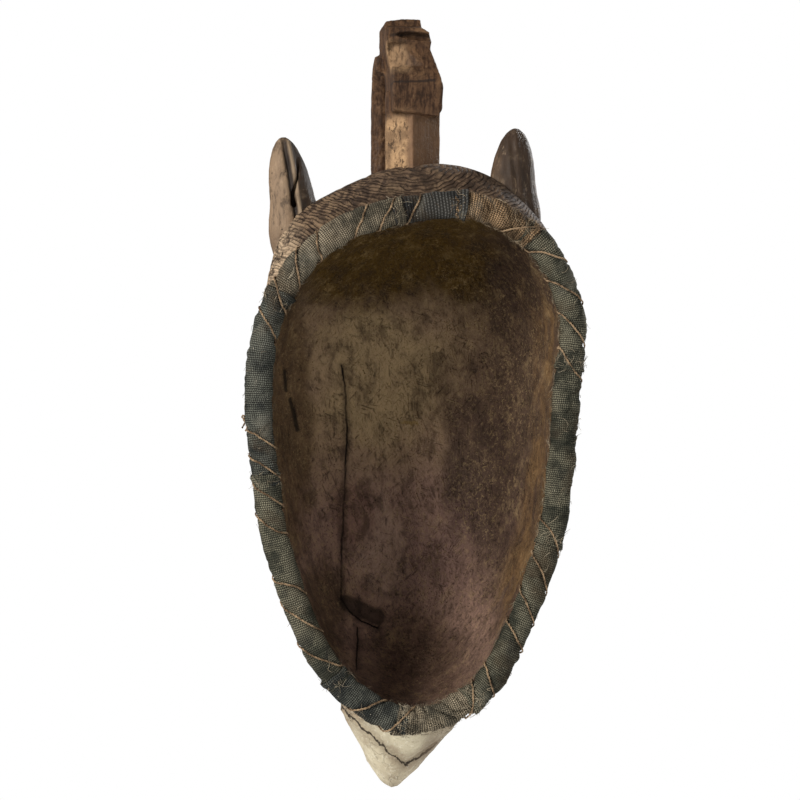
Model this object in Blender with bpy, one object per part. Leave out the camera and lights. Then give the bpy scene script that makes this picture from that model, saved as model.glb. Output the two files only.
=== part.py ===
"""A carved wooden face mask with a cloth-bound rim.

The mask stands upright with its crest up (+Z) and its face towards -Y. Its hollow opens
towards +Y, and the pads of the bound rim rest on the plane y = 0, as on a wearer or a wall.
The origin is the middle of the rim on that plane. All sizes are in metres.

The wood is four carved pieces: the mask itself, a crest and two horns, each let into a
socket of its own outline and held by a peg. The rim is padded, covered with ten lengths
of cloth and whipped with eight threads that pass through holes in the wood.
"""

import math
from typing import NamedTuple

import bmesh
import bpy
from mathutils import Matrix, Vector


class Horn(NamedTuple):
    """Where a horn's foot stands and how the horn is shaped."""

    share: float
    outwards: float
    lean: float
    length: float
    half_width: float


GAP = 0.0003

# Rim of the hollow: the middle line of its wooden edge
RIM_HALF_WIDTH = 0.0835
RIM_TOP = 0.138
RIM_BOTTOM = 0.134
RIM_WALL = 0.008
# Points of that line as shares of half width and of top or bottom, from the top round by +X
RIM_OUTLINE = (
    (0.00, 0.99), (0.41, 0.92), (0.73, 0.765), (0.92, 0.55), (0.98, 0.26), (0.93, -0.05),
    (0.86, -0.31), (0.64, -0.68), (0.37, -0.90), (0.00, -1.00), (-0.39, -0.91),
    (-0.64, -0.68), (-0.87, -0.31), (-0.95, 0.00), (-0.99, 0.30), (-1.02, 0.60),
    (-0.81, 0.86), (-0.42, 1.00),
)

# Binding, from the rest plane forwards
ROLL_BACK = 0.002
CLOTH = 0.003
PADDING = 0.0035
INNER_LEG = 0.0155
OUTER_LEG = 0.0165
PAD_HALF_WIDTH = 0.0035
PAD_LENGTH = 0.014
PAD_RAMP = 0.003

# Whipping thread
THREAD = 0.0012
HOLE_DEPTH = 0.0205

# Carved form in front of the straight part of the rim
STRAIGHT_DEPTH = 0.0235
FACE_DEPTH = 0.084
HOLLOW_DEPTH = 0.066
CROWN_RISE = 0.031
CROWN_CENTRE = -5.0
CROWN_REACH = 66.0
SHOULDER_RISE = 0.007
SHOULDER_TURN = 28.0
SHOULDER_SPREAD = 10.0
CHIN_DROP = 0.058
CHIN_CENTRE = 176.0
CHIN_SPREAD = 19.0
CHIN_LEAN = 0.10
FACE_CENTRE_Z = -0.010
OUTER_POWER = 0.60
HOLLOW_POWER = 0.50
SEGMENTS = 72
RINGS = 26
HOLLOW_RINGS = 11

# Face: heights of its features and how far they stand out
BROW_Z = 0.034
EYE_Z = 0.012
NOSE_Z = -0.056
MOUTH_Z = -0.088
CHIN_Z = -0.126
EYE_X = 0.031
NOSE_OUT = 0.022
NOSE_HALF_WIDTH = 0.015
MOUTH_HALF_WIDTH = 0.023

# Crest: post, head and bill, with their heights from the top of the rim
CREST_X = -0.0055
CREST_Y = -0.055
POST_HALF_WIDTH = 0.015
POST_BACK = 0.015
POST_FRONT = 0.012
POST_SOCKET_Z = RIM_TOP + 0.008
POST_TOP_Z = POST_SOCKET_Z + 0.059
HEAD_BOTTOM_Z = RIM_TOP + 0.056
HEAD_TOP_Z = HEAD_BOTTOM_Z + 0.051
BILL_HALF_WIDTH = 0.0135
BILL_THICK = 0.009
BILL_OFF_X = 0.005
# Middle line of the bill: y from the post's middle, and height
BILL_PATH = (
    (-0.010, 0.084), (-0.030, 0.086), (-0.044, 0.068), (-0.049, 0.032), (-0.046, -0.003),
    (-0.038, -0.032),
)

# Horns, by their feet: place round the rim as a share of its length, and distance out from it
HORN_LEFT = Horn(share=0.082, outwards=0.0055, lean=0.15, length=0.0615, half_width=0.0138)
HORN_RIGHT = Horn(share=-0.087, outwards=0.001, lean=0.06, length=0.0592, half_width=0.0145)
HORN_Y = -0.050
HORN_HALF_DEPTH = 0.0095
HORN_LEAN_FORWARD = 0.06
HORN_SOCKET_TOP = 0.045
GROOVE_WIDTH = 0.0022
GROOVE_DEPTH = 0.0045

PEG = 0.005
HORN_PEG_LENGTH = 0.028
HORN_PEG_BACK = 0.0155
HORN_PEG_RISE = 0.008
CREST_PEG_Z = POST_SOCKET_Z + 0.007
CREST_PEG_LENGTH = 0.050

# Cloth lengths as shares of the way round the rim, from the top round by +X
STRIPS = (
    ("cloth_top_ribbed", -0.055, 0.012), ("cloth_upper_left", 0.012, 0.125),
    ("cloth_left", 0.125, 0.262), ("cloth_lower_left", 0.262, 0.420),
    ("cloth_bottom_left", 0.420, 0.478), ("cloth_bottom_ruffled", 0.478, 0.535),
    ("cloth_lower_right", 0.535, 0.668), ("cloth_right", 0.668, 0.800),
    ("cloth_upper_right", 0.800, 0.908), ("cloth_tan_patch", 0.908, 0.945),
)
# Where the binding's pads stand, and the holes of each thread, on the same scale
PADS = (("top", -0.034), ("left", 0.190), ("bottom", 0.506), ("right", 0.760))
THREADS = (
    ("thread_top", (-0.008, 0.008, 0.030, 0.052)),
    ("thread_upper_left", (0.070, 0.086, 0.112, 0.136, 0.160)),
    ("thread_left", (0.222, 0.240, 0.262, 0.286, 0.306)),
    ("thread_lower_left", (0.330, 0.352, 0.384, 0.416)),
    ("thread_bottom_left", (0.440, 0.462, 0.489)),
    ("thread_bottom_right", (0.523, 0.545, 0.562)),
    ("thread_lower_right", (0.580, 0.602, 0.628, 0.655, 0.684)),
    ("thread_upper_right", (0.786, 0.812, 0.842, 0.872, 0.900, 0.928)),
)
KNOTS = (("knot_left", 0.222, 0.0022), ("knot_bottom", 0.545, 0.0020))

WOOD = ("old_wood", (0.105, 0.062, 0.036), 0.72)
HORN_WOOD = ("horn_wood", (0.120, 0.075, 0.047), 0.68)
PEG_WOOD = ("peg_wood", (0.210, 0.130, 0.070), 0.75)
INDIGO = ("indigo_cloth", (0.030, 0.036, 0.036), 0.95)
GREY_GREEN = ("grey_green_cloth", (0.062, 0.058, 0.042), 0.95)
TAN = ("tan_cloth", (0.140, 0.095, 0.055), 0.95)
FIBRE = ("rolled_fibre", (0.180, 0.130, 0.080), 0.95)
TWINE = ("bast_twine", (0.290, 0.190, 0.100), 0.85)


def material(look):
    """The Principled material of a (name, colour, roughness) look, made once."""
    name, colour, roughness = look
    found = bpy.data.materials.get(name)
    if found:
        return found
    made = bpy.data.materials.new(name)
    made.use_nodes = True
    shader = made.node_tree.nodes["Principled BSDF"]
    shader.inputs["Base Color"].default_value = (*colour, 1.0)
    shader.inputs["Roughness"].default_value = roughness
    shader.inputs["Metallic"].default_value = 0.0
    return made


def add_object(name, bm, look=None, cutter=False):
    """Finishes a bmesh as a named object, in the cutters' collection or the parts'."""
    bmesh.ops.recalc_face_normals(bm, faces=bm.faces)
    mesh = bpy.data.meshes.new(name)
    bm.to_mesh(mesh)
    bm.free()
    obj = bpy.data.objects.new(name, mesh)
    if cutter:
        CUTTERS.objects.link(obj)
        obj.hide_render = True
        obj.display_type = "WIRE"
    else:
        PARTS.objects.link(obj)
        mesh.materials.append(material(look))
        mesh.shade_smooth()
        mesh.set_sharp_from_angle(angle=math.radians(35))
    return obj


def boolean(obj, other, operation="DIFFERENCE"):
    """Adds an exact Boolean of obj with a hidden object."""
    modifier = obj.modifiers.new(f"{operation.lower()} {other.name}", "BOOLEAN")
    modifier.operation = operation
    modifier.object = other


def loft(rings):
    """A bmesh closed over a row of equal rings of points, with flat ends."""
    bm = bmesh.new()
    rows = [[bm.verts.new(point) for point in ring] for ring in rings]
    count = len(rows[0])
    for low, high in zip(rows, rows[1:]):
        for i in range(count):
            j = (i + 1) % count
            bm.faces.new((low[i], low[j], high[j], high[i]))
    bm.faces.new(rows[0])
    bm.faces.new(rows[-1])
    return bm


def prism(outline, low, high):
    """A bmesh of a flat (x, y) outline pushed up from z = low to z = high."""
    bm = bmesh.new()
    face = bm.faces.new([bm.verts.new((x, y, low)) for x, y in outline])
    pushed = bmesh.ops.extrude_face_region(bm, geom=[face])
    verts = [v for v in pushed["geom"] if isinstance(v, bmesh.types.BMVert)]
    bmesh.ops.translate(bm, vec=(0, 0, high - low), verts=verts)
    return bm


def cylinder(radius, start, end, sides):
    """A bmesh cylinder from one point to another."""
    start, end = Vector(start), Vector(end)
    way = end - start
    turn = way.to_track_quat("Z", "Y").to_matrix().to_4x4()
    bm = bmesh.new()
    bmesh.ops.create_cone(
        bm, cap_ends=True, segments=sides, radius1=radius, radius2=radius,
        depth=way.length, matrix=Matrix.Translation((start + end) / 2) @ turn,
    )
    return bm


def smoothstep(low, high, value):
    """0 below low, 1 above high, and a smooth rise between."""
    share = min(max((value - low) / (high - low), 0.0), 1.0)
    return share * share * (3 - 2 * share)


def bell(distance, width):
    """A smooth bump of height 1 at distance 0."""
    return math.exp(-((distance / width) ** 2))


def spline_point(points, place):
    """The point at a place (0 to the number of points) of a closed Catmull-Rom curve."""
    count = len(points)
    i, share = int(place) % count, place - int(place)
    a, b, c, d = (points[(i + step) % count] for step in (-1, 0, 1, 2))
    bend = (a * -1 + b * 3 - c * 3 + d) * share**3
    return (b * 2 + (c - a) * share + (a * 2 - b * 5 + c * 4 - d) * share**2 + bend) / 2


class Rim:
    """The closed middle line of the wooden edge, straight between its corners.

    Every piece on the rim reads its points here, so their sides stay parallel.
    """

    SAMPLES = 1440

    def __init__(self):
        points = [
            Vector((x * RIM_HALF_WIDTH, z * (RIM_TOP if z > 0 else RIM_BOTTOM)))
            for x, z in RIM_OUTLINE
        ]
        step = len(points) / self.SAMPLES
        line = [spline_point(points, i * step) for i in range(self.SAMPLES + 1)]
        lengths = [0.0]
        for here, after in zip(line, line[1:]):
            lengths.append(lengths[-1] + (after - here).length)
        self.length = lengths[-1]
        self.corners = []
        for k in range(SEGMENTS):
            wanted = k / SEGMENTS * self.length
            i = next(i for i in range(self.SAMPLES) if lengths[i + 1] > wanted)
            part = (wanted - lengths[i]) / (lengths[i + 1] - lengths[i])
            way = line[(i + 4) % self.SAMPLES] - line[(i - 3) % self.SAMPLES]
            normal = Vector((-way.y, way.x)).normalized()
            self.corners.append((line[i].lerp(line[i + 1], part), normal))

    def flat(self, share, outwards):
        """The (x, z) of a place a distance outwards from the line, by share of its length."""
        place = (share % 1.0) * SEGMENTS
        low = int(place) % SEGMENTS
        ends = [
            point + normal * outwards
            for point, normal in (self.corners[low], self.corners[(low + 1) % SEGMENTS])
        ]
        return ends[0].lerp(ends[1], place - int(place))

    def at(self, share, outwards, back):
        """The world point a distance outwards from the line and at y = back."""
        flat = self.flat(share, outwards)
        return Vector((flat.x, back, flat.y))


def wood_edge():
    """How far in front of the rest plane the wooden edge lies."""
    return ROLL_BACK + CLOTH + GAP + PADDING + GAP


def face_relief(x, z):
    """How far the carved features stand out of the plain face at (x, z)."""
    side = abs(x)
    along = min(max((BROW_Z - z) / (BROW_Z - NOSE_Z), 0.0), 1.0)
    half_width = NOSE_HALF_WIDTH * (0.50 + 0.50 * along**1.5)
    top = smoothstep(BROW_Z + 0.012, BROW_Z - 0.008, z)
    base = smoothstep(NOSE_Z - 0.012, NOSE_Z + 0.005, z)
    out = NOSE_OUT * (0.30 + 0.70 * along) * bell(side, half_width) * top * base
    arch = BROW_Z + 0.006 - 9.0 * (side - 0.026) ** 2
    out += 0.0055 * bell(z - arch, 0.0080) * smoothstep(0.066, 0.048, side)
    socket = bell(side - EYE_X, 0.019) * bell(z - EYE_Z, 0.013)
    lid = bell((side - EYE_X) / 0.0150, 1.0) * bell((z - EYE_Z + 0.002) / 0.0085, 1.0)
    out += 0.0065 * lid - 0.0065 * socket
    out += 0.0035 * bell(side - 0.044, 0.020) * bell(z + 0.034, 0.022)
    across = smoothstep(MOUTH_HALF_WIDTH + 0.005, MOUTH_HALF_WIDTH - 0.009, side)
    upper, lower = MOUTH_Z + 0.0055, MOUTH_Z - 0.0060
    out += 0.0048 * across * (bell(z - upper, 0.0046) + 1.1 * bell(z - lower, 0.0052))
    out += 0.0060 * bell(side, 0.020) * bell(z - CHIN_Z, 0.018)
    return out


def even_angles(count, depth, power):
    """Angles from the rim to the front whose rings lie evenly along the dome's profile."""
    samples = 900
    angles = [math.pi / 2 * i / samples for i in range(samples + 1)]
    across = (RIM_TOP + RIM_BOTTOM) / 2
    points = [
        Vector((across * max(math.cos(a), 0.0) ** power, depth * math.sin(a))) for a in angles
    ]
    lengths = [0.0]
    for here, after in zip(points, points[1:]):
        lengths.append(lengths[-1] + (after - here).length)
    even = []
    for k in range(count + 1):
        wanted = k / count * lengths[-1]
        even.append(next(a for a, length in zip(angles, lengths) if length >= wanted - 1e-9))
    return even


def carved_point(rim, direction, outer, angles):
    """Where a point of the unit half ball facing -Y goes on the mask or on its hollow."""
    turn = math.degrees(math.atan2(direction.x, direction.z))
    rise = math.degrees(math.asin(min(max(-direction.y, -1.0), 1.0)))
    share = turn / 360.0
    offset = RIM_WALL / 2 if outer else -RIM_WALL / 2
    ring = round(rise / 90.0 * len(angles))
    if ring == 0:
        return rim.at(share, offset, -wood_edge() if outer else 0.010)
    angle = angles[ring - 1]
    depth = FACE_DEPTH if outer else HOLLOW_DEPTH
    spread = max(math.cos(angle), 0.0) ** (OUTER_POWER if outer else HOLLOW_POWER)
    centre = Vector((0.0, FACE_CENTRE_Z))
    foot = rim.flat(share, offset)
    outwards = (rim.flat(share, 1.0) - rim.flat(share, 0.0)).normalized()
    plan = centre + (foot - centre) * spread
    y = -STRAIGHT_DEPTH - depth * math.sin(angle)
    if not outer:
        return Vector((plan.x, y, plan.y))
    swell = math.sin(math.pi * (angle / (math.pi / 2)) ** 0.66)
    reach = math.radians(min(abs(turn - CROWN_CENTRE) / CROWN_REACH, 1.0) * 90.0)
    below = abs((turn - CHIN_CENTRE + 180.0) % 360.0 - 180.0)
    crown = CROWN_RISE * math.cos(reach) ** 2
    crown += SHOULDER_RISE * bell(turn - SHOULDER_TURN, SHOULDER_SPREAD)
    chin = CHIN_DROP * math.exp(-((below / CHIN_SPREAD) ** 1.5))
    chin_swell = math.sin(math.pi * (angle / (math.pi / 2)) ** 0.95)
    plan += outwards * crown * swell + Vector((CHIN_LEAN, -1.0)) * chin * chin_swell
    y -= face_relief(plan.x, plan.y) * smoothstep(0.35, 0.62, math.sin(angle))
    return Vector((plan.x, y, plan.y))


def half_ball(rim, outer, rings):
    """The mask's solid or its hollow: half a ball carried onto the carved form."""
    bm = bmesh.new()
    bmesh.ops.create_uvsphere(
        bm, u_segments=SEGMENTS, v_segments=2 * rings, radius=1.0,
        matrix=Matrix.Rotation(math.pi / 2, 4, "X"),
    )
    behind = [vert for vert in bm.verts if vert.co.y > 1e-4]
    bmesh.ops.delete(bm, geom=behind, context="VERTS")
    bmesh.ops.holes_fill(bm, edges=[e for e in bm.edges if e.is_boundary], sides=0)
    depth, power = (FACE_DEPTH, OUTER_POWER) if outer else (HOLLOW_DEPTH, HOLLOW_POWER)
    angles = even_angles(rings - 1, depth, power)
    for vert in bm.verts:
        vert.co = carved_point(rim, vert.co.normalized(), outer, angles)
    return bm


def post_outline(clearance):
    """The crest post's outline from above: five sides with a ridge at the back."""
    half, back = POST_HALF_WIDTH + clearance, POST_BACK + clearance
    front = POST_FRONT + clearance
    points = ((0.1, 1.0), (-1.0, 0.25), (-0.9, -1.0), (0.9, -1.0), (1.0, 0.25))
    return [
        (CREST_X + x * half, CREST_Y + (y * back if y > 0 else y * front))
        for x, y in points
    ]


def bill_rings(clearance, highest):
    """Rings of the bill, an arch from the head forwards and down into the forehead."""
    steps = 4
    path = [Vector((y, RIM_TOP + rise)) for y, rise in BILL_PATH]
    ends = [path[0], *path, path[-1]]
    places = [i + k / steps for i in range(1, len(path)) for k in range(steps)]
    line = [spline_point(ends, place) for place in places]
    line.append(path[-1])
    rings = []
    for i, (y, z) in enumerate(line):
        before, after = line[max(i - 1, 0)], line[min(i + 1, len(line) - 1)]
        way = (after - before).normalized()
        share = i / (len(line) - 1)
        thick = BILL_THICK / 2 * (1.3 - 0.3 * share) + clearance
        half = BILL_HALF_WIDTH * (1.0 - 0.15 * share) + clearance
        middle = Vector((CREST_X + BILL_OFF_X, CREST_Y + y, z))
        out = Vector((0, -way.y, way.x))
        if z <= highest:
            rings.append([
                middle + Vector((half * x, 0, 0)) + out * thick * s
                for x, s in ((-1, -0.6), (-1, 0.6), (-0.6, 1), (0.6, 1), (1, 0.6),
                             (1, -0.6), (0.6, -1), (-0.6, -1))
            ])
    return rings


def build_crest():
    """The crest: a post, a head with a hanging back and a bill that arches forwards."""
    crest = add_object("crest", prism(post_outline(0.0), POST_SOCKET_Z, POST_TOP_Z), WOOD)
    x, y, low, top = CREST_X, CREST_Y, HEAD_BOTTOM_Z, HEAD_TOP_Z
    side = (
        (y - 0.016, low + 0.010), (y + 0.012, low - 0.005), (y + 0.020, low - 0.003),
        (y + 0.0215, low + 0.017), (y + 0.014, low + 0.034), (y + 0.017, low + 0.038),
        (y + 0.016, low + 0.044), (y + 0.010, top - 0.005), (y + 0.009, top - 0.001),
        (y - 0.014, top), (y - 0.022, top - 0.012), (y - 0.021, low + 0.022),
    )
    back = (
        (x + 0.0125, low - 0.001), (x + 0.0130, low + 0.020), (x + 0.0155, low + 0.034),
        (x + 0.0165, top - 0.004), (x + 0.0150, top - 0.002), (x - 0.0035, top),
        (x - 0.0043, top - 0.007), (x - 0.0078, top - 0.009), (x - 0.0090, top - 0.013),
        (x - 0.0083, top - 0.018), (x - 0.0125, low + 0.020), (x - 0.0145, low + 0.012),
        (x - 0.0145, low), (x - 0.0125, low - 0.004),
    )
    head = prism([(-b, a) for a, b in side], x - 0.04, x + 0.04)
    bmesh.ops.rotate(
        head, cent=(0, 0, 0), matrix=Matrix.Rotation(math.pi / 2, 3, "Y"), verts=head.verts
    )
    head = add_object("crest_head", head, cutter=True)
    front = prism([(a, b) for a, b in back], y - 0.04, y + 0.04)
    bmesh.ops.rotate(
        front, cent=(0, 0, 0), matrix=Matrix.Rotation(math.pi / 2, 3, "X"), verts=front.verts
    )
    bmesh.ops.scale(front, vec=(1, -1, 1), verts=front.verts)
    front = add_object("crest_head_outline", front, cutter=True)
    boolean(head, front, "INTERSECT")
    boolean(crest, head, "UNION")
    bill = add_object("crest_bill", loft(bill_rings(0.0, HEAD_TOP_Z)), cutter=True)
    boolean(crest, bill, "UNION")
    return crest


def horn_rings(rim, horn, clearance, top):
    """Rings of a horn from its foot to a height above it, standing in its lean."""
    foot = rim.at(horn.share, horn.outwards, HORN_Y)
    side = 1 if foot.x > 0 else -1
    rings = []
    for i in range(11):
        share = math.sin(math.pi / 2 * i / 10) * min(top / horn.length, 0.997)
        width = (1 - share**3.4) ** 0.5
        rise = share * horn.length
        middle = foot + Vector((side * horn.lean, -HORN_LEAN_FORWARD, 1.0)) * rise
        across = (horn.half_width + clearance) * width * (1 - 0.12 * share)
        deep = (HORN_HALF_DEPTH + clearance) * width * (1 - 0.10 * share)
        rings.append([
            middle + Vector((across * math.cos(a), deep * math.sin(a), 0))
            for a in (math.tau * k / 16 for k in range(16))
        ])
    return rings


def build_horn(rim, name, horn, grooved):
    """One horn: an oval blade that narrows to a blunt tip."""
    obj = add_object(name, loft(horn_rings(rim, horn, 0.0, horn.length)), HORN_WOOD)
    if grooved:
        bm = bmesh.new()
        bmesh.ops.create_cube(bm, size=1.0)
        bmesh.ops.scale(bm, vec=(GROOVE_WIDTH, 0.02, horn.length), verts=bm.verts)
        bmesh.ops.rotate(
            bm, cent=(0, 0, 0), verts=bm.verts,
            matrix=Matrix.Rotation(-0.06, 3, "X") @ Matrix.Rotation(-0.10, 3, "Y"),
        )
        back = HORN_Y + HORN_HALF_DEPTH + 0.01 - GROOVE_DEPTH
        place = rim.at(horn.share, horn.outwards, back)
        place += Vector((0.001, -HORN_LEAN_FORWARD * horn.length, horn.length * 0.87))
        bmesh.ops.translate(bm, vec=place, verts=bm.verts)
        boolean(obj, add_object(f"{name}_groove", bm, cutter=True))
    return obj


def peg_ends(rim):
    """Names and ends of the three pegs, each from its blind end to its open end."""
    ends = {}
    for name, horn in (("peg_left", HORN_LEFT), ("peg_right", HORN_RIGHT)):
        start = rim.at(horn.share, horn.outwards, HORN_Y + HORN_PEG_BACK)
        start.z += HORN_PEG_RISE
        ends[name] = (start, start - Vector((0, HORN_PEG_LENGTH, 0)))
    start = Vector((CREST_X + POST_HALF_WIDTH + 0.008, CREST_Y, CREST_PEG_Z))
    ends["peg_crest"] = (start, start - Vector((CREST_PEG_LENGTH, 0, 0)))
    return ends


def strip_section(rim, share, raised):
    """The cloth's section at a place on the rim, over the padding and down both sides."""
    inner = RIM_WALL / 2 + GAP
    outer = inner + CLOTH
    back = -ROLL_BACK * (1 - raised)
    under = -(ROLL_BACK + CLOTH)
    flat = PAD_HALF_WIDTH
    points = (
        (inner, -OUTER_LEG), (outer - 0.0005, -OUTER_LEG), (outer, -OUTER_LEG + 0.0015),
        (outer, -ROLL_BACK - 0.0042), (outer - 0.0010, -ROLL_BACK - 0.0018),
        (flat + 0.0012, back - 0.0004), (flat, back), (-flat, back),
        (-flat - 0.0012, back - 0.0004), (-outer + 0.0010, -ROLL_BACK - 0.0018),
        (-outer, -ROLL_BACK - 0.0042), (-outer, -INNER_LEG + 0.0015),
        (-outer + 0.0005, -INNER_LEG), (-inner, -INNER_LEG), (-inner, under), (inner, under),
    )
    return [rim.at(share, outwards, y) for outwards, y in points]


def pad_stations(rim, start, end):
    """The (share, raised) stations of each pad that lies inside a length of cloth."""
    half, ramp = PAD_LENGTH / 2 / rim.length, PAD_RAMP / rim.length
    return [
        [(centre - half - ramp, 0.0), (centre - half, 1.0),
         (centre + half, 1.0), (centre + half + ramp, 0.0)]
        for _, centre in PADS
        if start < centre - half - ramp and centre + half + ramp < end
    ]


def build_strip(rim, name, start, end, look):
    """One length of cloth, its ends a gap short of its neighbours'."""
    start, end = start + GAP / 2 / rim.length, end - GAP / 2 / rim.length
    near = 0.0002 / rim.length
    inside = range(math.ceil((start + near) * SEGMENTS), math.ceil((end - near) * SEGMENTS))
    stations = {start: 0.0, end: 0.0}
    stations.update({k / SEGMENTS: 0.0 for k in inside})
    for pad in pad_stations(rim, start, end):
        for share in list(stations):
            if pad[0][0] < share < pad[-1][0]:
                stations[share] = 1.0 if pad[1][0] <= share <= pad[2][0] else 0.5
        stations.update(dict(pad))
    rings = [strip_section(rim, share, stations[share]) for share in sorted(stations)]
    return add_object(name, loft(rings), look)


def build_padding(rim):
    """The roll of fibre between the wooden edge and the cloth, one closed ring."""
    half = RIM_WALL / 2
    low = -(ROLL_BACK + CLOTH + GAP + PADDING)
    high = low + PADDING
    section = (
        (half, low), (half, high - 0.0008), (half - 0.001, high),
        (-half + 0.001, high), (-half, high - 0.0008), (-half, low),
    )
    bm = bmesh.new()
    rows = [
        [bm.verts.new(rim.at(i / SEGMENTS, a, y)) for a, y in section]
        for i in range(SEGMENTS)
    ]
    for i, row in enumerate(rows):
        after = rows[(i + 1) % SEGMENTS]
        for j in range(len(section)):
            k = (j + 1) % len(section)
            bm.faces.new((row[j], row[k], after[k], after[j]))
    return add_object("rim_padding", bm, FIBRE)


def thread_route(rim, holes):
    """Points of one thread: out of a hole, over the roll to the next hole and through it."""
    reach = RIM_WALL / 2 + GAP + CLOTH + GAP + THREAD / 2
    over = -ROLL_BACK + GAP + THREAD / 2
    wall = RIM_WALL / 2 - 0.001
    deep = -HOLE_DEPTH
    rise = (
        (0.00, reach - 0.0012, deep), (0.00, reach, deep + 0.0012), (0.00, reach, -0.0115),
        (0.01, reach, -ROLL_BACK - 0.0038), (0.04, reach - 0.0006, -ROLL_BACK - 0.0008),
        (0.10, PAD_HALF_WIDTH + 0.0014, over), (0.30, 0.5 * PAD_HALF_WIDTH, over),
        (0.50, 0.0, over), (0.70, -0.5 * PAD_HALF_WIDTH, over),
        (0.90, -PAD_HALF_WIDTH - 0.0014, over), (0.96, 0.0006 - reach, -ROLL_BACK - 0.0008),
        (0.99, -reach, -ROLL_BACK - 0.0038), (1.00, -reach, -0.0115),
        (1.00, -reach, deep + 0.0012), (1.00, 0.0012 - reach, deep),
    )
    points = [rim.at(holes[0], -reach + 0.002, deep), rim.at(holes[0], wall, deep)]
    for here, after in zip(holes, holes[1:]):
        points += [rim.at(here + (after - here) * s, a, y) for s, a, y in rise]
        points += [rim.at(after, -wall, deep), rim.at(after, wall, deep)]
    points.append(rim.at(holes[-1], reach - 0.002, deep))
    return points


def build_thread(name, points):
    """A thread as a curve of round section along its route."""
    curve = bpy.data.curves.new(name, "CURVE")
    curve.dimensions = "3D"
    curve.bevel_depth = THREAD / 2
    curve.bevel_resolution = 0
    curve.use_fill_caps = True
    spline = curve.splines.new("POLY")
    spline.points.add(len(points) - 1)
    for target, point in zip(spline.points, points):
        target.co = (*point, 1.0)
    curve.materials.append(material(TWINE))
    obj = bpy.data.objects.new(name, curve)
    PARTS.objects.link(obj)
    return obj


def build_knot(rim, name, share, radius):
    """A knot, drawn tight against the outside of the wood beside its thread's hole."""
    bm = bmesh.new()
    away = RIM_WALL / 2 + GAP + radius
    place = rim.at(share - 0.0062, away, -HOLE_DEPTH - 0.0005)
    bmesh.ops.create_icosphere(bm, subdivisions=2, radius=radius, matrix=Matrix.Translation(place))
    return add_object(name, bm, TWINE)


def build_mask(rim):
    """The carved mask with its hollow, sockets, peg holes and thread holes."""
    mask = add_object("mask_shell", half_ball(rim, True, RINGS), WOOD)
    boolean(mask, add_object("hollow", half_ball(rim, False, HOLLOW_RINGS), cutter=True))
    socket = prism(post_outline(GAP), POST_SOCKET_Z - GAP, HEAD_TOP_Z)
    boolean(mask, add_object("socket_crest", socket, cutter=True))
    bill = bill_rings(GAP, POST_TOP_Z)
    bill[-1] = [point - Vector((0, 0, GAP)) for point in bill[-1]]
    boolean(mask, add_object("socket_bill", loft(bill), cutter=True))
    for name, horn in (("socket_left", HORN_LEFT), ("socket_right", HORN_RIGHT)):
        rings = horn_rings(rim, horn, GAP, HORN_SOCKET_TOP)
        rings[0] = [point - Vector((0, 0, GAP)) for point in rings[0]]
        boolean(mask, add_object(name, loft(rings), cutter=True))
    holes = bmesh.new()
    for _, places in THREADS:
        for place in places:
            drill = cylinder(
                THREAD / 2 + GAP, rim.at(place, -RIM_WALL, -HOLE_DEPTH),
                rim.at(place, RIM_WALL, -HOLE_DEPTH), 8,
            )
            drilled = bpy.data.meshes.new("drill")
            drill.to_mesh(drilled)
            drill.free()
            holes.from_mesh(drilled)
            bpy.data.meshes.remove(drilled)
    boolean(mask, add_object("thread_holes", holes, cutter=True))
    return mask


def build_pegs(rim, mask, crest, horn_left, horn_right):
    """The three pegs, and the blind holes that they fill in the mask and its pieces."""
    held = {"peg_left": horn_left, "peg_right": horn_right, "peg_crest": crest}
    for name, (start, end) in peg_ends(rim).items():
        way = (end - start).normalized()
        add_object(name, cylinder(PEG / 2, start, end, 12), PEG_WOOD)
        drill = cylinder(PEG / 2 + GAP, start - way * GAP, end + way * 0.04, 12)
        hole = add_object(f"{name}_hole", drill, cutter=True)
        boolean(mask, hole)
        boolean(held[name], hole)


def main():
    """Builds every piece of the mask."""
    rim = Rim()
    mask = build_mask(rim)
    crest = build_crest()
    horn_left = build_horn(rim, "horn_left", HORN_LEFT, True)
    horn_right = build_horn(rim, "horn_right", HORN_RIGHT, False)
    build_pegs(rim, mask, crest, horn_left, horn_right)
    build_padding(rim)
    looks = {"cloth_top_ribbed": INDIGO, "cloth_tan_patch": TAN, "cloth_bottom_left": INDIGO}
    for name, start, end in STRIPS:
        build_strip(rim, name, start, end, looks.get(name, GREY_GREEN))
    for name, holes in THREADS:
        build_thread(name, thread_route(rim, holes))
    for name, share, radius in KNOTS:
        build_knot(rim, name, share, radius)


for old in list(bpy.data.objects):
    bpy.data.objects.remove(old, do_unlink=True)
PARTS = bpy.data.collections.new("cloth_bound_mask")
CUTTERS = bpy.data.collections.new("cutters")
bpy.context.scene.collection.children.link(PARTS)
bpy.context.scene.collection.children.link(CUTTERS)
main()
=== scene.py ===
"""Looks of the carved mask with its cloth-bound rim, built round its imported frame.

The mask stands upright, crest up (+Z), face towards -Y and hollow towards +Y. All sizes
are in metres.
"""

import logging
import math
from dataclasses import dataclass, field
from enum import Enum
from typing import Iterable, Sequence

import bmesh
import bpy
import numpy as np
from mathutils import Matrix, Vector, noise


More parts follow.
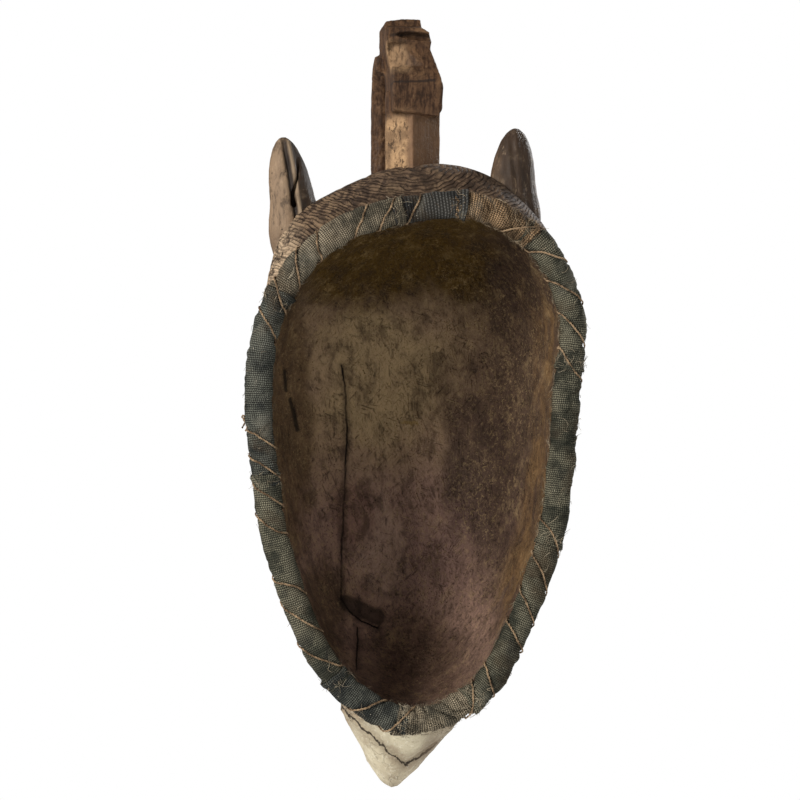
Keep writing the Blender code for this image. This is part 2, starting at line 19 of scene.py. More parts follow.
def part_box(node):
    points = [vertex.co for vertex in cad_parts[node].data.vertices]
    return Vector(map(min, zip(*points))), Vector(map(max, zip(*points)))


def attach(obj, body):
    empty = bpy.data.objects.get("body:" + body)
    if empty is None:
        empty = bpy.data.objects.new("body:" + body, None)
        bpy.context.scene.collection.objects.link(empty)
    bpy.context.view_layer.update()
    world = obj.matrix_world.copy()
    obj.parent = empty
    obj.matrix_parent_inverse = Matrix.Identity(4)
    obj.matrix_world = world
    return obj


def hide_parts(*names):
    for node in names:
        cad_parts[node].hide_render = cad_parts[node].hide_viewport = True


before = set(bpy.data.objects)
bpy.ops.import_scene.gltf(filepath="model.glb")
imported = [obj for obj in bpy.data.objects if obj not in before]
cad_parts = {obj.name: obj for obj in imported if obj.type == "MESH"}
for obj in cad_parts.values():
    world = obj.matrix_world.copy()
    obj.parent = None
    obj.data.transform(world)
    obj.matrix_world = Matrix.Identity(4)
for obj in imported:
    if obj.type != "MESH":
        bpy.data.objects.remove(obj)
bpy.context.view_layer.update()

LOG = logging.getLogger("mask")
BODY = "root"
FRAY_SEED = 7
Colour = tuple[float, float, float]
Place = tuple[float, float]


# ---------------------------------------------------------------- shader expressions


class Wire:
    """A socket's output that takes part in Python sums."""

    def __init__(self, tree: bpy.types.NodeTree, socket: bpy.types.NodeSocket) -> None:
        """Keeps the tree that new nodes go in and the socket that holds the value."""
        self.tree = tree
        self.socket = socket

    def _sum(self, operation: str, *values: "Wire | float") -> "Wire":
        """Adds a Math node.

        Args:
            operation: the Math node's operation.
            values: what its sockets take, in order.

        Returns:
            The node's result.
        """
        node = self.tree.nodes.new("ShaderNodeMath")
        node.operation = operation
        for slot, value in zip(node.inputs, values):
            if isinstance(value, Wire):
                self.tree.links.new(value.socket, slot)
            else:
                slot.default_value = value
        return Wire(self.tree, node.outputs[0])

    def __add__(self, other: "Wire | float") -> "Wire":
        """self + other."""
        return self._sum("ADD", self, other)

    __radd__ = __add__

    def __sub__(self, other: "Wire | float") -> "Wire":
        """self - other."""
        return self._sum("SUBTRACT", self, other)

    def __rsub__(self, other: "Wire | float") -> "Wire":
        """other - self."""
        return self._sum("SUBTRACT", other, self)

    def __mul__(self, other: "Wire | float") -> "Wire":
        """self * other."""
        return self._sum("MULTIPLY", self, other)

    __rmul__ = __mul__

    def __truediv__(self, other: "Wire | float") -> "Wire":
        """self / other."""
        return self._sum("DIVIDE", self, other)

    def __pow__(self, other: "Wire | float") -> "Wire":
        """self ** other."""
        return self._sum("POWER", self, other)

    def __abs__(self) -> "Wire":
        """The value without its sign."""
        return self._sum("ABSOLUTE", self)

    def floor(self) -> "Wire":
        """The whole number below the value."""
        return self._sum("FLOOR", self)

    def sine(self) -> "Wire":
        """The sine of the value."""
        return self._sum("SINE", self)

    def highest(self, other: "Wire | float") -> "Wire":
        """The greater of two values."""
        return self._sum("MAXIMUM", self, other)

    def lowest(self, other: "Wire | float") -> "Wire":
        """The smaller of two values."""
        return self._sum("MINIMUM", self, other)

    def ramp(self, low: float, high: float) -> "Wire":
        """A smooth rise from 0 at low to 1 at high, or a fall where low is the greater."""
        node = self.tree.nodes.new("ShaderNodeMapRange")
        node.interpolation_type = "SMOOTHSTEP"
        turned = low > high
        node.inputs["From Min"].default_value = high if turned else low
        node.inputs["From Max"].default_value = low if turned else high
        self.tree.links.new(self.socket, node.inputs["Value"])
        rise = Wire(self.tree, node.outputs["Result"])
        return 1.0 - rise if turned else rise


class Paint:
    """A material under construction: one Principled surface and the nodes behind it."""

    def __init__(self, name: str, roughness: float, specular: float = 0.3) -> None:
        """Starts a material with an even roughness and specular level."""
        self.material = bpy.data.materials.new(name)
        self.material.use_nodes = True
        self.tree = self.material.node_tree
        self.surface = self.tree.nodes["Principled BSDF"]
        self.colour: "Wire | Colour" = (0.5, 0.5, 0.5)
        self.surface.inputs["Roughness"].default_value = roughness
        self.surface.inputs["Specular IOR Level"].default_value = specular

    def node(
        self, kind: str, settings: dict | None = None, inputs: dict | None = None,
        output: str | int = 0,
    ) -> Wire:
        """Adds a node.

        Args:
            kind: the node's type, without its ShaderNode prefix.
            settings: properties that are set before the sockets.
            inputs: what each named or numbered socket takes.
            output: the output wanted.

        Returns:
            That output.
        """
        node = self.tree.nodes.new("ShaderNode" + kind)
        for name, value in (settings or {}).items():
            setattr(node, name, value)
        for name, value in (inputs or {}).items():
            self.join(node.inputs[name], value)
        return Wire(self.tree, node.outputs[output])

    def join(self, slot: bpy.types.NodeSocket, value: "Wire | float | Sequence") -> None:
        """Gives a socket a link or a value of its own."""
        if isinstance(value, Wire):
            self.tree.links.new(value.socket, slot)
        elif slot.type == "RGBA" and len(value) == 3:
            slot.default_value = (*value, 1.0)
        else:
            slot.default_value = value

    def place(self) -> Wire:
        """The point on the piece, in metres."""
        return self.node("TexCoord", output="Object")

    def axes(self, vector: Wire) -> tuple[Wire, Wire, Wire]:
        """The x, y and z of a vector."""
        apart = self.node("SeparateXYZ", None, {0: vector})
        return tuple(Wire(self.tree, s) for s in apart.socket.node.outputs)

    def grain(
        self, scale: float, detail: float = 4.0, rough: float = 0.55,
        stretch: Sequence[float] = (1, 1, 1), turn: Sequence[float] = (0, 0, 0), bend: float = 0.0,
    ) -> Wire:
        """Noise from 0 to 1.

        Args:
            scale: patches in a metre.
            detail: how many finer layers it has.
            rough: how strong those layers are.
            stretch: how the pattern is squeezed along each axis.
            turn: how the pattern is turned, in radians.
            bend: how far it is distorted.

        Returns:
            The noise value.
        """
        point = self.place()
        if tuple(stretch) != (1, 1, 1) or tuple(turn) != (0, 0, 0):
            point = self.node(
                "Mapping", {"vector_type": "TEXTURE"},
                {"Vector": point, "Rotation": turn, "Scale": [1 / s for s in stretch]},
            )
        return self.node(
            "TexNoise", None,
            {"Vector": point, "Scale": scale, "Detail": detail, "Roughness": rough,
             "Distortion": bend},
        )

    def cells(self, scale: float) -> Wire:
        """The distance to the nearest of many scattered points, 0 at each point."""
        return self.node("TexVoronoi", None, {"Vector": self.place(), "Scale": scale})

    def blend(self, share: Wire | float, a: "Wire | Colour", b: "Wire | Colour") -> Wire:
        """Colour a where share is 0, b where it is 1."""
        node = self.node("Mix", {"data_type": "RGBA"}, {0: share}).socket.node
        self.join(node.inputs[6], a)
        self.join(node.inputs[7], b)
        return Wire(self.tree, node.outputs[2])

    def coat(self, share: Wire | float, tone: "Wire | Colour") -> None:
        """Lays a coat over the colour so far: bare where share is 0, full where it is 1."""
        self.colour = self.blend(share, self.colour, tone)

    def stops(self, share: Wire, stops: Sequence[tuple[float, Colour]]) -> Wire:
        """A colour ramp through the given places and colours."""
        out = self.node("ValToRGB", None, {0: share})
        ramp = out.socket.node.color_ramp
        while len(ramp.elements) < len(stops):
            ramp.elements.new(0.5)
        for element, (where, colour) in zip(ramp.elements, stops):
            element.position = where
            element.color = (*colour, 1.0)
        return out

    def vector(self, operation: str, *values: "Wire | Sequence", output: str | int = 0) -> Wire:
        """Adds a Vector Math node that takes the values in order."""
        return self.node("VectorMath", {"operation": operation}, dict(enumerate(values)), output)

    def line(self, points: Sequence[Place], wander: Wire | None = None) -> Wire:
        """The distance in the X-Z plane to a broken line.

        Args:
            points: the line's (x, z) corners.
            wander: the point to read, if it isn't the piece's own.

        Returns:
            The distance in metres.
        """
        flat = self.vector("MULTIPLY", wander or self.place(), (1, 0, 1))
        nearest = None
        for (ax, az), (bx, bz) in zip(points, points[1:]):
            way = Vector((bx - ax, 0, bz - az))
            start = self.vector("SUBTRACT", flat, (ax, 0, az))
            along = self.vector("DOT_PRODUCT", start, way / way.length_squared, output="Value")
            along = along.highest(0.0).lowest(1.0)
            foot = self.node("VectorMath", {"operation": "SCALE"}, {0: way, "Scale": along})
            away = self.vector("DISTANCE", start, foot, output="Value")
            nearest = away if nearest is None else nearest.lowest(away)
        return nearest

    def spot(self, centre: Place, radii: Place) -> Wire:
        """A soft patch in the X-Z plane: 1 at its centre, 0 at its edge and less beyond."""
        apart = self.vector("SUBTRACT", self.place(), (centre[0], 0, centre[1]))
        flat = self.vector("MULTIPLY", apart, (1 / radii[0], 0, 1 / radii[1]))
        return 1.0 - self.vector("LENGTH", flat, output="Value")

    def wandering(self, scale: float, reach: float) -> Wire:
        """The piece's point moved about by noise, so that straight lines run unevenly."""
        return self.vector("ADD", self.place(), self.drift(self.grain(scale, 3.0), reach * 2))

    def drift(self, grain: Wire, reach: float) -> Wire:
        """The colour of a noise as a move, up to half of reach each way."""
        noisy = Wire(self.tree, grain.socket.node.outputs["Color"])
        centred = self.vector("SUBTRACT", noisy, (0.5,) * 3)
        return self.node("VectorMath", {"operation": "SCALE"}, {0: centred, "Scale": reach})

    def finish(self, height: Wire | None = None, depth: float = 0.001,
               roughness: Wire | None = None) -> bpy.types.Material:
        """Joins the colour so far, the relief and the roughness to the surface.

        Args:
            height: relief from 0 to 1.
            depth: how deep that relief is, in metres.
            roughness: where it varies.

        Returns:
            The finished material.
        """
        self.join(self.surface.inputs["Base Color"], self.colour)
        if roughness is not None:
            self.join(self.surface.inputs["Roughness"], roughness)
        if height is not None:
            bump = self.node("Bump", None, {"Height": height, "Strength": 1.0, "Distance": depth})
            self.join(self.surface.inputs["Normal"], bump)
        return self.material


# ---------------------------------------------------------------- helpers for meshes


def smoothstep(low: float, high: float, value: float) -> float:
    """0 below low, 1 above high, and a smooth rise between."""
    share = min(max((value - low) / (high - low), 0.0), 1.0)
    return share * share * (3 - 2 * share)


def bell(distance: float, width: float) -> float:
    """A smooth bump of height 1 at distance 0."""
    return math.exp(-((distance / width) ** 2))


def lumps(point: Vector, size: float, seed: float = 0.0) -> float:
    """Smooth noise from -1 to 1 whose lumps are about size across."""
    return noise.noise(point / size + Vector((seed, seed * 1.7, -seed)))


def rough_lumps(point: Vector, size: float, layers: int = 3, seed: float = 0.0) -> float:
    """Noise with finer and finer layers, about -1 to 1."""
    total, share = 0.0, 1.0
    for layer in range(layers):
        total += share * lumps(point, size / 2.1**layer, seed + 7.3 * layer)
        share *= 0.5
    return total


def line_distance(point: Place, corners: Sequence[Place]) -> float:
    """How far a flat point lies from a broken line."""
    here = Vector(point)
    nearest = math.inf
    for a, b in zip(corners, corners[1:]):
        start, way = Vector(a), Vector(b) - Vector(a)
        along = min(max((here - start).dot(way) / way.length_squared, 0.0), 1.0)
        nearest = min(nearest, (start + way * along - here).length)
    return nearest


def spline(points: Sequence[Vector], place: float, closed: bool = False) -> Vector:
    """The point at a place along a Catmull-Rom curve through the points."""
    count = len(points)
    low = math.floor(place)
    share = place - low
    if closed:
        a, b, c, d = (points[(low + step) % count] for step in (-1, 0, 1, 2))
    else:
        low = min(max(low, 0), count - 2)
        share = place - low
        a, b, c, d = (points[min(max(low + step, 0), count - 1)] for step in (-1, 0, 1, 2))
    bend = (a * -1 + b * 3 - c * 3 + d) * share**3
    return (b * 2 + (c - a) * share + (a * 2 - b * 5 + c * 4 - d) * share**2 + bend) / 2


def even_line(points: Sequence[Vector], step: float) -> list[Vector]:
    """Points an even step apart along the smooth curve through the given ones."""
    fine = [spline(points, i / 8) for i in range(8 * (len(points) - 1) + 1)]
    lengths = [0.0]
    for here, after in zip(fine, fine[1:]):
        lengths.append(lengths[-1] + (after - here).length)
    count = max(2, round(lengths[-1] / step))
    out, i = [], 0
    for k in range(count + 1):
        wanted = lengths[-1] * k / count
        while i < len(fine) - 2 and lengths[i + 1] < wanted:
            i += 1
        span = max(lengths[i + 1] - lengths[i], 1e-9)
        out.append(fine[i].lerp(fine[i + 1], min((wanted - lengths[i]) / span, 1.0)))
    return out


def carried_sides(points: Sequence[Vector]) -> list[tuple[Vector, Vector]]:
    """Two directions square to a line at each of its points, carried along without twist."""
    frames = []
    side = None
    for i in range(len(points)):
        way = (points[min(i + 1, len(points) - 1)] - points[max(i - 1, 0)]).normalized()
        if side is None:
            side = way.orthogonal().normalized()
        side = (side - way * side.dot(way)).normalized()
        frames.append((side, way.cross(side)))
    return frames


def piece(name: str, mesh: bpy.types.Mesh, material: bpy.types.Material, slot: str,
          nodes: Iterable[str] = ()) -> bpy.types.Object:
    """Makes a finished piece of the mask.

    Args:
        name: the piece's name.
        mesh: its mesh, in world coordinates.
        material: its look.
        slot: the name of its material slot; not used.
        nodes: the CAD nodes that it stands for.

    Returns:
        The object, riding on the mask.
    """
    mesh.name = name
    mesh.materials.clear()
    mesh.materials.append(material)
    mesh.shade_smooth()
    made = bpy.data.objects.new(name, mesh)
    bpy.context.scene.collection.objects.link(made)
    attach(made, BODY)
    if nodes:
        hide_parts(*nodes)
    LOG.info("%s: %d faces", name, len(mesh.polygons))
    return made


def settled(obj: bpy.types.Object) -> bpy.types.Mesh:
    """The object's mesh with its modifiers applied, and the object itself removed."""
    bpy.context.view_layer.update()
    graph = bpy.context.evaluated_depsgraph_get()
    mesh = bpy.data.meshes.new_from_object(obj.evaluated_get(graph), depsgraph=graph)
    bpy.data.objects.remove(obj, do_unlink=True)
    return mesh


def loose(name: str, bm: bmesh.types.BMesh) -> bpy.types.Object:
    """A helper object from a bmesh, which it frees."""
    mesh = bpy.data.meshes.new(name)
    bm.to_mesh(mesh)
    bm.free()
    obj = bpy.data.objects.new(name, mesh)
    bpy.context.scene.collection.objects.link(obj)
    return obj


def tubes(name: str, lines: Iterable[Sequence[Vector]], radius: float, sides: int = 1,
          taper: float = 0.0) -> bpy.types.Mesh:
    """A mesh of round tubes.

    Args:
        name: the helper curve's name.
        lines: the middle line of each tube.
        radius: of every tube.
        sides: the curve's bevel resolution.
        taper: how much thinner each tube is at its end.

    Returns:
        The mesh.
    """
    curve = bpy.data.curves.new(name, "CURVE")
    curve.dimensions = "3D"
    curve.bevel_depth = radius
    curve.bevel_resolution = sides
    curve.use_fill_caps = True
    for line in lines:
        strand = curve.splines.new("POLY")
        strand.points.add(len(line) - 1)
        for i, (target, point) in enumerate(zip(strand.points, line)):
            target.co = (*point, 1.0)
            target.radius = 1.0 - taper * i / (len(line) - 1)
    obj = bpy.data.objects.new(name, curve)
    bpy.context.scene.collection.objects.link(obj)
    mesh = settled(obj)
    bpy.data.curves.remove(curve)
    return mesh


# ---------------------------------------------------------------- the rim and the carved body


@dataclass
class RimLine:
    """The closed middle line of the mask's wooden edge."""

    half_width: float = 0.0835
    top: float = 0.138
    bottom: float = 0.134
    wall: float = 0.008
    corners: int = 720
    samples: int = 1440
    outline: Sequence[Place] = (
        (0.0, 0.99), (0.41, 0.92), (0.73, 0.765), (0.92, 0.55), (0.98, 0.26), (0.93, -0.05),
        (0.86, -0.31), (0.64, -0.68), (0.37, -0.9), (0.0, -1.0), (-0.39, -0.91),
        (-0.64, -0.68), (-0.87, -0.31), (-0.95, 0.0), (-0.99, 0.3), (-1.02, 0.6),
        (-0.81, 0.86), (-0.42, 1.0),
    )
    length: float = field(init=False)

    def __post_init__(self) -> None:
        """Works out even points of the line and the directions out of it."""
        hands = [
            Vector((x * self.half_width, z * (self.top if z > 0 else self.bottom)))
            for x, z in self.outline
        ]
        samples = self.samples
        line = [spline(hands, i * len(hands) / samples, True) for i in range(samples + 1)]
        lengths = [0.0]
        for here, after in zip(line, line[1:]):
            lengths.append(lengths[-1] + (after - here).length)
        self.length = lengths[-1]
        self.points: list[tuple[Vector, Vector]] = []
        i = 0
        for k in range(self.corners):
            wanted = k / self.corners * self.length
            while lengths[i + 1] <= wanted:
                i += 1
            part = (wanted - lengths[i]) / (lengths[i + 1] - lengths[i])
            way = line[(i + 4) % samples] - line[(i - 3) % samples]
            self.points.append((line[i].lerp(line[i + 1], part),
                                Vector((-way.y, way.x)).normalized()))

    def flat(self, share: float, outwards: float) -> Vector:
        """The (x, z) of a place a distance out from the line, by share of its length."""
        place = (share % 1.0) * self.corners
        low = int(place) % self.corners
        near, far = self.points[low], self.points[(low + 1) % self.corners]
        return (near[0] + near[1] * outwards).lerp(far[0] + far[1] * outwards, place % 1.0)

    def at(self, share: float, outwards: float, y: float) -> Vector:
        """The world point a distance out from the line at depth y."""
        flat = self.flat(share, outwards)
        return Vector((flat.x, y, flat.y))


@dataclass
class CarvedBody:
    """The mask's own wood: a long face in front, a deep hollow behind, one closed shell."""

    rim: RimLine
    edge_y: float = -0.0091
    straight_depth: float = 0.0235
    face_depth: float = 0.084
    hollow_depth: float = 0.066
    crown_rise: float = 0.031
    chin_drop: float = 0.058
    centre_z: float = -0.01
    brow_z: float = 0.034
    eye_z: float = 0.012
    nose_z: float = -0.056
    mouth_z: float = -0.088
    chin_z: float = -0.126
    eye_x: float = 0.031
    outer_power: float = 0.6
    inner_power: float = 0.5
    comb_pitch: float = 0.0052
    profile_steps: int = 2000
    segments: int = 340
    outer_rings: int = 124
    inner_rings: int = 116
    band_rings: int = 9
    hairline: Sequence[Place] = ((0.0, 0.083), (0.03, 0.078), (0.055, 0.06), (0.076, 0.03))
    crack: Sequence[Place] = (
        (0.0303, 0.0549), (0.0285, 0.0442), (0.0272, 0.0193), (0.0284, -0.0135),
        (0.0302, -0.0411), (0.0311, -0.0628), (0.0313, -0.0762), (0.0265, -0.0832),
        (0.0196, -0.089), (0.0105, -0.0926),
    )
    lower_crack: Sequence[Place] = ((0.0222, -0.0915), (0.0237, -0.1033), (0.025, -0.1122))
    scar: Sequence[Place] = ((0.028, -0.078), (0.0105, -0.0868))
    chin_crack: Sequence[Place] = (
        (0.043, -0.1215), (0.0345, -0.1325), (0.0216, -0.1426), (0.0138, -0.1506),
        (0.0065, -0.1575), (-0.0005, -0.1632), (-0.0075, -0.1582), (-0.0168, -0.1513),
    )

    def features(self, x: float, z: float) -> float:
        """How far the face's carved features stand out at (x, z): calm, with closed lids."""
        side = abs(x)
        along = min(max((self.brow_z - z) / (self.brow_z - self.nose_z), 0.0), 1.0)
        half_width = 0.015 * (0.5 + 0.5 * along**1.5)
        top = smoothstep(self.brow_z + 0.012, self.brow_z - 0.008, z)
        base = smoothstep(self.nose_z - 0.012, self.nose_z + 0.005, z)
        out = 0.022 * (0.3 + 0.7 * along) * bell(side, half_width) * top * base
        out += 0.0042 * bell(side - 0.0125, 0.0052) * bell(z - self.nose_z - 0.006, 0.0075)
        out -= 0.003 * bell(side - 0.0065, 0.003) * bell(z - self.nose_z + 0.004, 0.003)
        arch = self.brow_z + 0.006 - 9.0 * (side - 0.026) ** 2
        brow = bell(z - arch, 0.0065) * smoothstep(0.064, 0.05, side)
        out += 0.0065 * brow * smoothstep(0.006, 0.014, side)
        out -= 0.0065 * bell(side - self.eye_x, 0.02) * bell(z - self.eye_z, 0.0135)
        lid = ((side - self.eye_x) / 0.017) ** 2 + ((z - self.eye_z + 0.001) / 0.0095) ** 2
        out += 0.0078 * smoothstep(1.15, 0.35, lid)
        slit = self.eye_z - 0.004 + 0.0032 * ((side - self.eye_x) / 0.015) ** 2
        out -= 0.0021 * bell(z - slit, 0.0011) * smoothstep(0.0175, 0.015, abs(side - self.eye_x))
        fold = self.eye_z + 0.0098 - 0.006 * ((side - self.eye_x) / 0.015) ** 2
        out -= 0.0014 * bell(z - fold, 0.0013) * smoothstep(0.0185, 0.014, abs(side - self.eye_x))
        out += 0.0035 * bell(side - 0.044, 0.02) * bell(z + 0.034, 0.022)
        across = smoothstep(0.027, 0.012, side)
        bow = 0.0012 * bell(side - 0.006, 0.004) - 0.0012 * bell(side, 0.003)
        upper, lower = self.mouth_z + 0.0052 + bow, self.mouth_z - 0.006
        out += 0.0052 * across * (bell(z - upper, 0.0046) + 1.1 * bell(z - lower, 0.0052))
        parting = self.mouth_z - 0.0004 + 0.001 * (side / 0.02) ** 2
        out -= 0.003 * across * bell(z - parting, 0.0012)
        philtrum = 0.0016 * bell(side, 0.0032)
        philtrum *= smoothstep(self.mouth_z + 0.01, self.nose_z - 0.008, z)
        out -= philtrum * smoothstep(self.nose_z - 0.004, self.nose_z - 0.012, z)
        out += 0.006 * bell(side, 0.02) * bell(z - self.chin_z, 0.018)
        return out

    def hair(self, x: float, z: float) -> float:
        """1 above the hairline, 0 on the face, with a step between."""
        side = min(abs(x), self.hairline[-1][0])
        for (ax, az), (bx, bz) in zip(self.hairline, self.hairline[1:]):
            if ax <= side <= bx:
                line = az + (bz - az) * smoothstep(ax, bx, side)
                return smoothstep(line - 0.0012, line + 0.0012, z)
        return 0.0

    def ring_angles(self, count: int, depth: float, power: float) -> list[float]:
        """Angles from rim to front whose rings lie evenly along the dome's profile."""
        across = (self.rim.top + self.rim.bottom) / 2
        steps = self.profile_steps
        angles = [math.pi / 2 * i / steps for i in range(steps + 1)]
        points = [Vector((across * max(math.cos(a), 0.0) ** power, depth * math.sin(a)))
                  for a in angles]
        lengths = [0.0]
        for here, after in zip(points, points[1:]):
            lengths.append(lengths[-1] + (after - here).length)
        even, i = [], 0
        for k in range(count + 1):
            wanted = k / count * lengths[-1]
            while i < len(lengths) - 1 and lengths[i] < wanted - 1e-9:
                i += 1
            even.append(angles[i])
        return even

    def outside(self, share: float, angle: float) -> Vector:
        """A point of the plain outer form with its features, before the tool marks."""
        turn = (share * 360.0 + 180.0) % 360.0 - 180.0
        spread = max(math.cos(angle), 0.0) ** self.outer_power
        centre = Vector((0.0, self.centre_z))
        foot = self.rim.flat(share, self.rim.wall / 2)
        outwards = (self.rim.flat(share, 1.0) - self.rim.flat(share, 0.0)).normalized()
        plan = centre + (foot - centre) * spread
        quarter = angle / (math.pi / 2)
        reach = math.radians(min(abs(turn + 5.0) / 66.0, 1.0) * 90.0)
        crown = self.crown_rise * math.cos(reach) ** 2 + 0.007 * bell(turn - 28.0, 10.0)
        below = abs((turn - 176.0 + 180.0) % 360.0 - 180.0)
        chin = self.chin_drop * math.exp(-((below / 19.0) ** 1.5))
        plan += outwards * crown * math.sin(math.pi * quarter**0.66)
        plan += Vector((0.1, -1.0)) * chin * math.sin(math.pi * quarter**0.95)
        face = smoothstep(0.35, 0.62, math.sin(angle))
        y = -self.straight_depth - self.face_depth * math.sin(angle)
        y -= self.features(plan.x, plan.y) * face
        y -= 0.0016 * self.hair(plan.x, plan.y) * face
        return Vector((plan.x, y, plan.y))

    def inside(self, share: float, angle: float) -> Vector:
        """A point of the plain hollow."""
        spread = max(math.cos(angle), 0.0) ** self.inner_power
        centre = Vector((0.0, self.centre_z))
        foot = self.rim.flat(share, -self.rim.wall / 2)
        plan = centre + (foot - centre) * spread
        return Vector((plan.x, -self.straight_depth - self.hollow_depth * math.sin(angle), plan.y))

    def half(self, rings: int, outer: bool) -> bmesh.types.BMesh:
        """Half a ball carried onto the outer form or the hollow, open at the rim.

        Args:
            rings: rings from the rim to the front.
            outer: whether it is the outer form.

        Returns:
            The open half.
        """
        bm = bmesh.new()
        bmesh.ops.create_uvsphere(
            bm, u_segments=self.segments, v_segments=2 * rings, radius=1.0,
            matrix=Matrix.Rotation(math.pi / 2, 4, "X"),
        )
        behind = [vert for vert in bm.verts if vert.co.y > 1e-4]
        bmesh.ops.delete(bm, geom=behind, context="VERTS")
        if outer:
            depth, power = self.face_depth, self.outer_power
        else:
            depth, power = self.hollow_depth, self.inner_power
        angles = self.ring_angles(rings - self.band_rings, depth, power)
        side = self.rim.wall / 2 * (1 if outer else -1)
        shape = self.outside if outer else self.inside
        for vert in bm.verts:
            share = math.atan2(vert.co.x, vert.co.z) / math.tau
            ring = round(math.degrees(math.asin(min(max(-vert.co.y, 0.0), 1.0))) / 90 * rings)
            if ring < self.band_rings:
                part = ring / self.band_rings
                y = self.edge_y + (-self.straight_depth - self.edge_y) * part
                vert.co = self.rim.at(share, side, y)
            else:
                vert.co = shape(share, angles[ring - self.band_rings])
        return bm

    def tool_marks(self, point: Vector, outer: bool) -> float:
        """How far the carving, wear and cracks move a point along its normal."""
        x, y, z = point
        if outer:
            back = smoothstep(-0.085, -0.06, y)
            crown = smoothstep(0.055, 0.1, z)
            hair = max(self.hair(x, z), crown * back)
            move = 0.0006 * rough_lumps(point, 0.022, 4) + 0.00022 * lumps(point, 0.004, 3.0)
            move += 0.0006 * smoothstep(-0.105, -0.13, z) * rough_lumps(point, 0.009, 3, 6.0)
            swing = 0.01 * lumps(point, 0.035, 5.0)
            away = math.hypot(x + 0.0055, (y + 0.055) * 1.2, (z - 0.15) * 1.5) + swing
            comb = abs(math.sin(away * math.pi / self.comb_pitch))
            move -= 0.0007 * hair * smoothstep(0.45, 0.05, comb)
            crack = line_distance((x, z), self.chin_crack)
            return move - 0.0022 * back * smoothstep(0.0016, 0.0003, crack)
        facets = noise.voronoi(point / 0.017 + Vector((3.1, 0.4, 1.7)))[0]
        move = -0.0013 * (facets[1] - facets[0]) + 0.0008 * rough_lumps(point, 0.014, 4, 2.0)
        flat = Vector((point.x / 0.0022, point.y / 0.004, point.z / 0.006))
        move += 0.0003 * noise.noise(flat)
        crack = min(line_distance((x, z), line) for line in (self.crack, self.lower_crack))
        move -= 0.0006 * smoothstep(0.0016, 0.0002, crack)
        return move + 0.0022 * smoothstep(0.0056, 0.002, line_distance((x, z), self.scar))

    def build(self) -> bpy.types.Mesh:
        """The closed shell: both halves, bridged round the rim's edge.

        Returns:
            Its mesh, with a `hollow` attribute that is 1 inside.
        """
        shell = self.half(self.outer_rings, True)
        inner = self.half(self.inner_rings, False)
        bmesh.ops.reverse_faces(inner, faces=inner.faces)
        for bm, outer in ((shell, True), (inner, False)):
            bmesh.ops.recalc_face_normals(bm, faces=bm.faces)
            bm.normal_update()
            middle = sum((v.normal.y for v in bm.verts if abs(v.co.x) < 0.01), 0.0)
            if (middle > 0) == outer:
                bmesh.ops.reverse_faces(bm, faces=bm.faces)
            bm.normal_update()
            moves = [v.normal * (0.0 if v.is_boundary else self.tool_marks(v.co, outer))
                     for v in bm.verts]
            for vert, move in zip(bm.verts, moves):
                vert.co += move
        kept = bpy.data.meshes.new("hollow_half")
        inner.to_mesh(kept)
        inner.free()
        layer = shell.verts.layers.float.new("hollow")
        for vert in shell.verts:
            vert.tag = True
        shell.from_mesh(kept)
        bpy.data.meshes.remove(kept)
        for vert in shell.verts:
            vert[layer] = 0.0 if vert.tag else 1.0
        open_edges = [edge for edge in shell.edges if edge.is_boundary]
        bmesh.ops.bridge_loops(shell, edges=open_edges)
        bmesh.ops.recalc_face_normals(shell, faces=shell.faces)
        mesh = bpy.data.meshes.new("carved_body")
        shell.to_mesh(mesh)
        shell.free()
        return mesh


# ---------------------------------------------------------------- crest and horns


@dataclass(frozen=True)
class Cut:
    """A hollow or flat cut into a carved piece.

    A flat cut takes away what lies on the +Y side of a plane through `place`, within
    `size`. A round one scoops an ellipsoid of radii `size` out.
    """

    place: Sequence[float]
    size: Sequence[float]
    yaw: float = 0.0
    pitch: float = 0.0
    roll: float = 0.0
    round: bool = False

    def shape(self) -> bmesh.types.BMesh:
        """The cutter, in place."""
        bm = bmesh.new()
        if self.round:
            bmesh.ops.create_icosphere(bm, subdivisions=4, radius=1.0)
        else:
            bmesh.ops.create_cube(bm, size=1.0)
            bmesh.ops.translate(bm, vec=(0, 0.5, 0), verts=bm.verts)
        bmesh.ops.scale(bm, vec=self.size, verts=bm.verts)
        turn = (
            Matrix.Rotation(math.radians(self.yaw), 3, "Z")
            @ Matrix.Rotation(math.radians(self.pitch), 3, "X")
            @ Matrix.Rotation(math.radians(self.roll), 3, "Y")
        )
        bmesh.ops.rotate(bm, cent=(0, 0, 0), matrix=turn, verts=bm.verts)
        bmesh.ops.translate(bm, vec=self.place, verts=bm.verts)
        bmesh.ops.recalc_face_normals(bm, faces=bm.faces)
        return bm


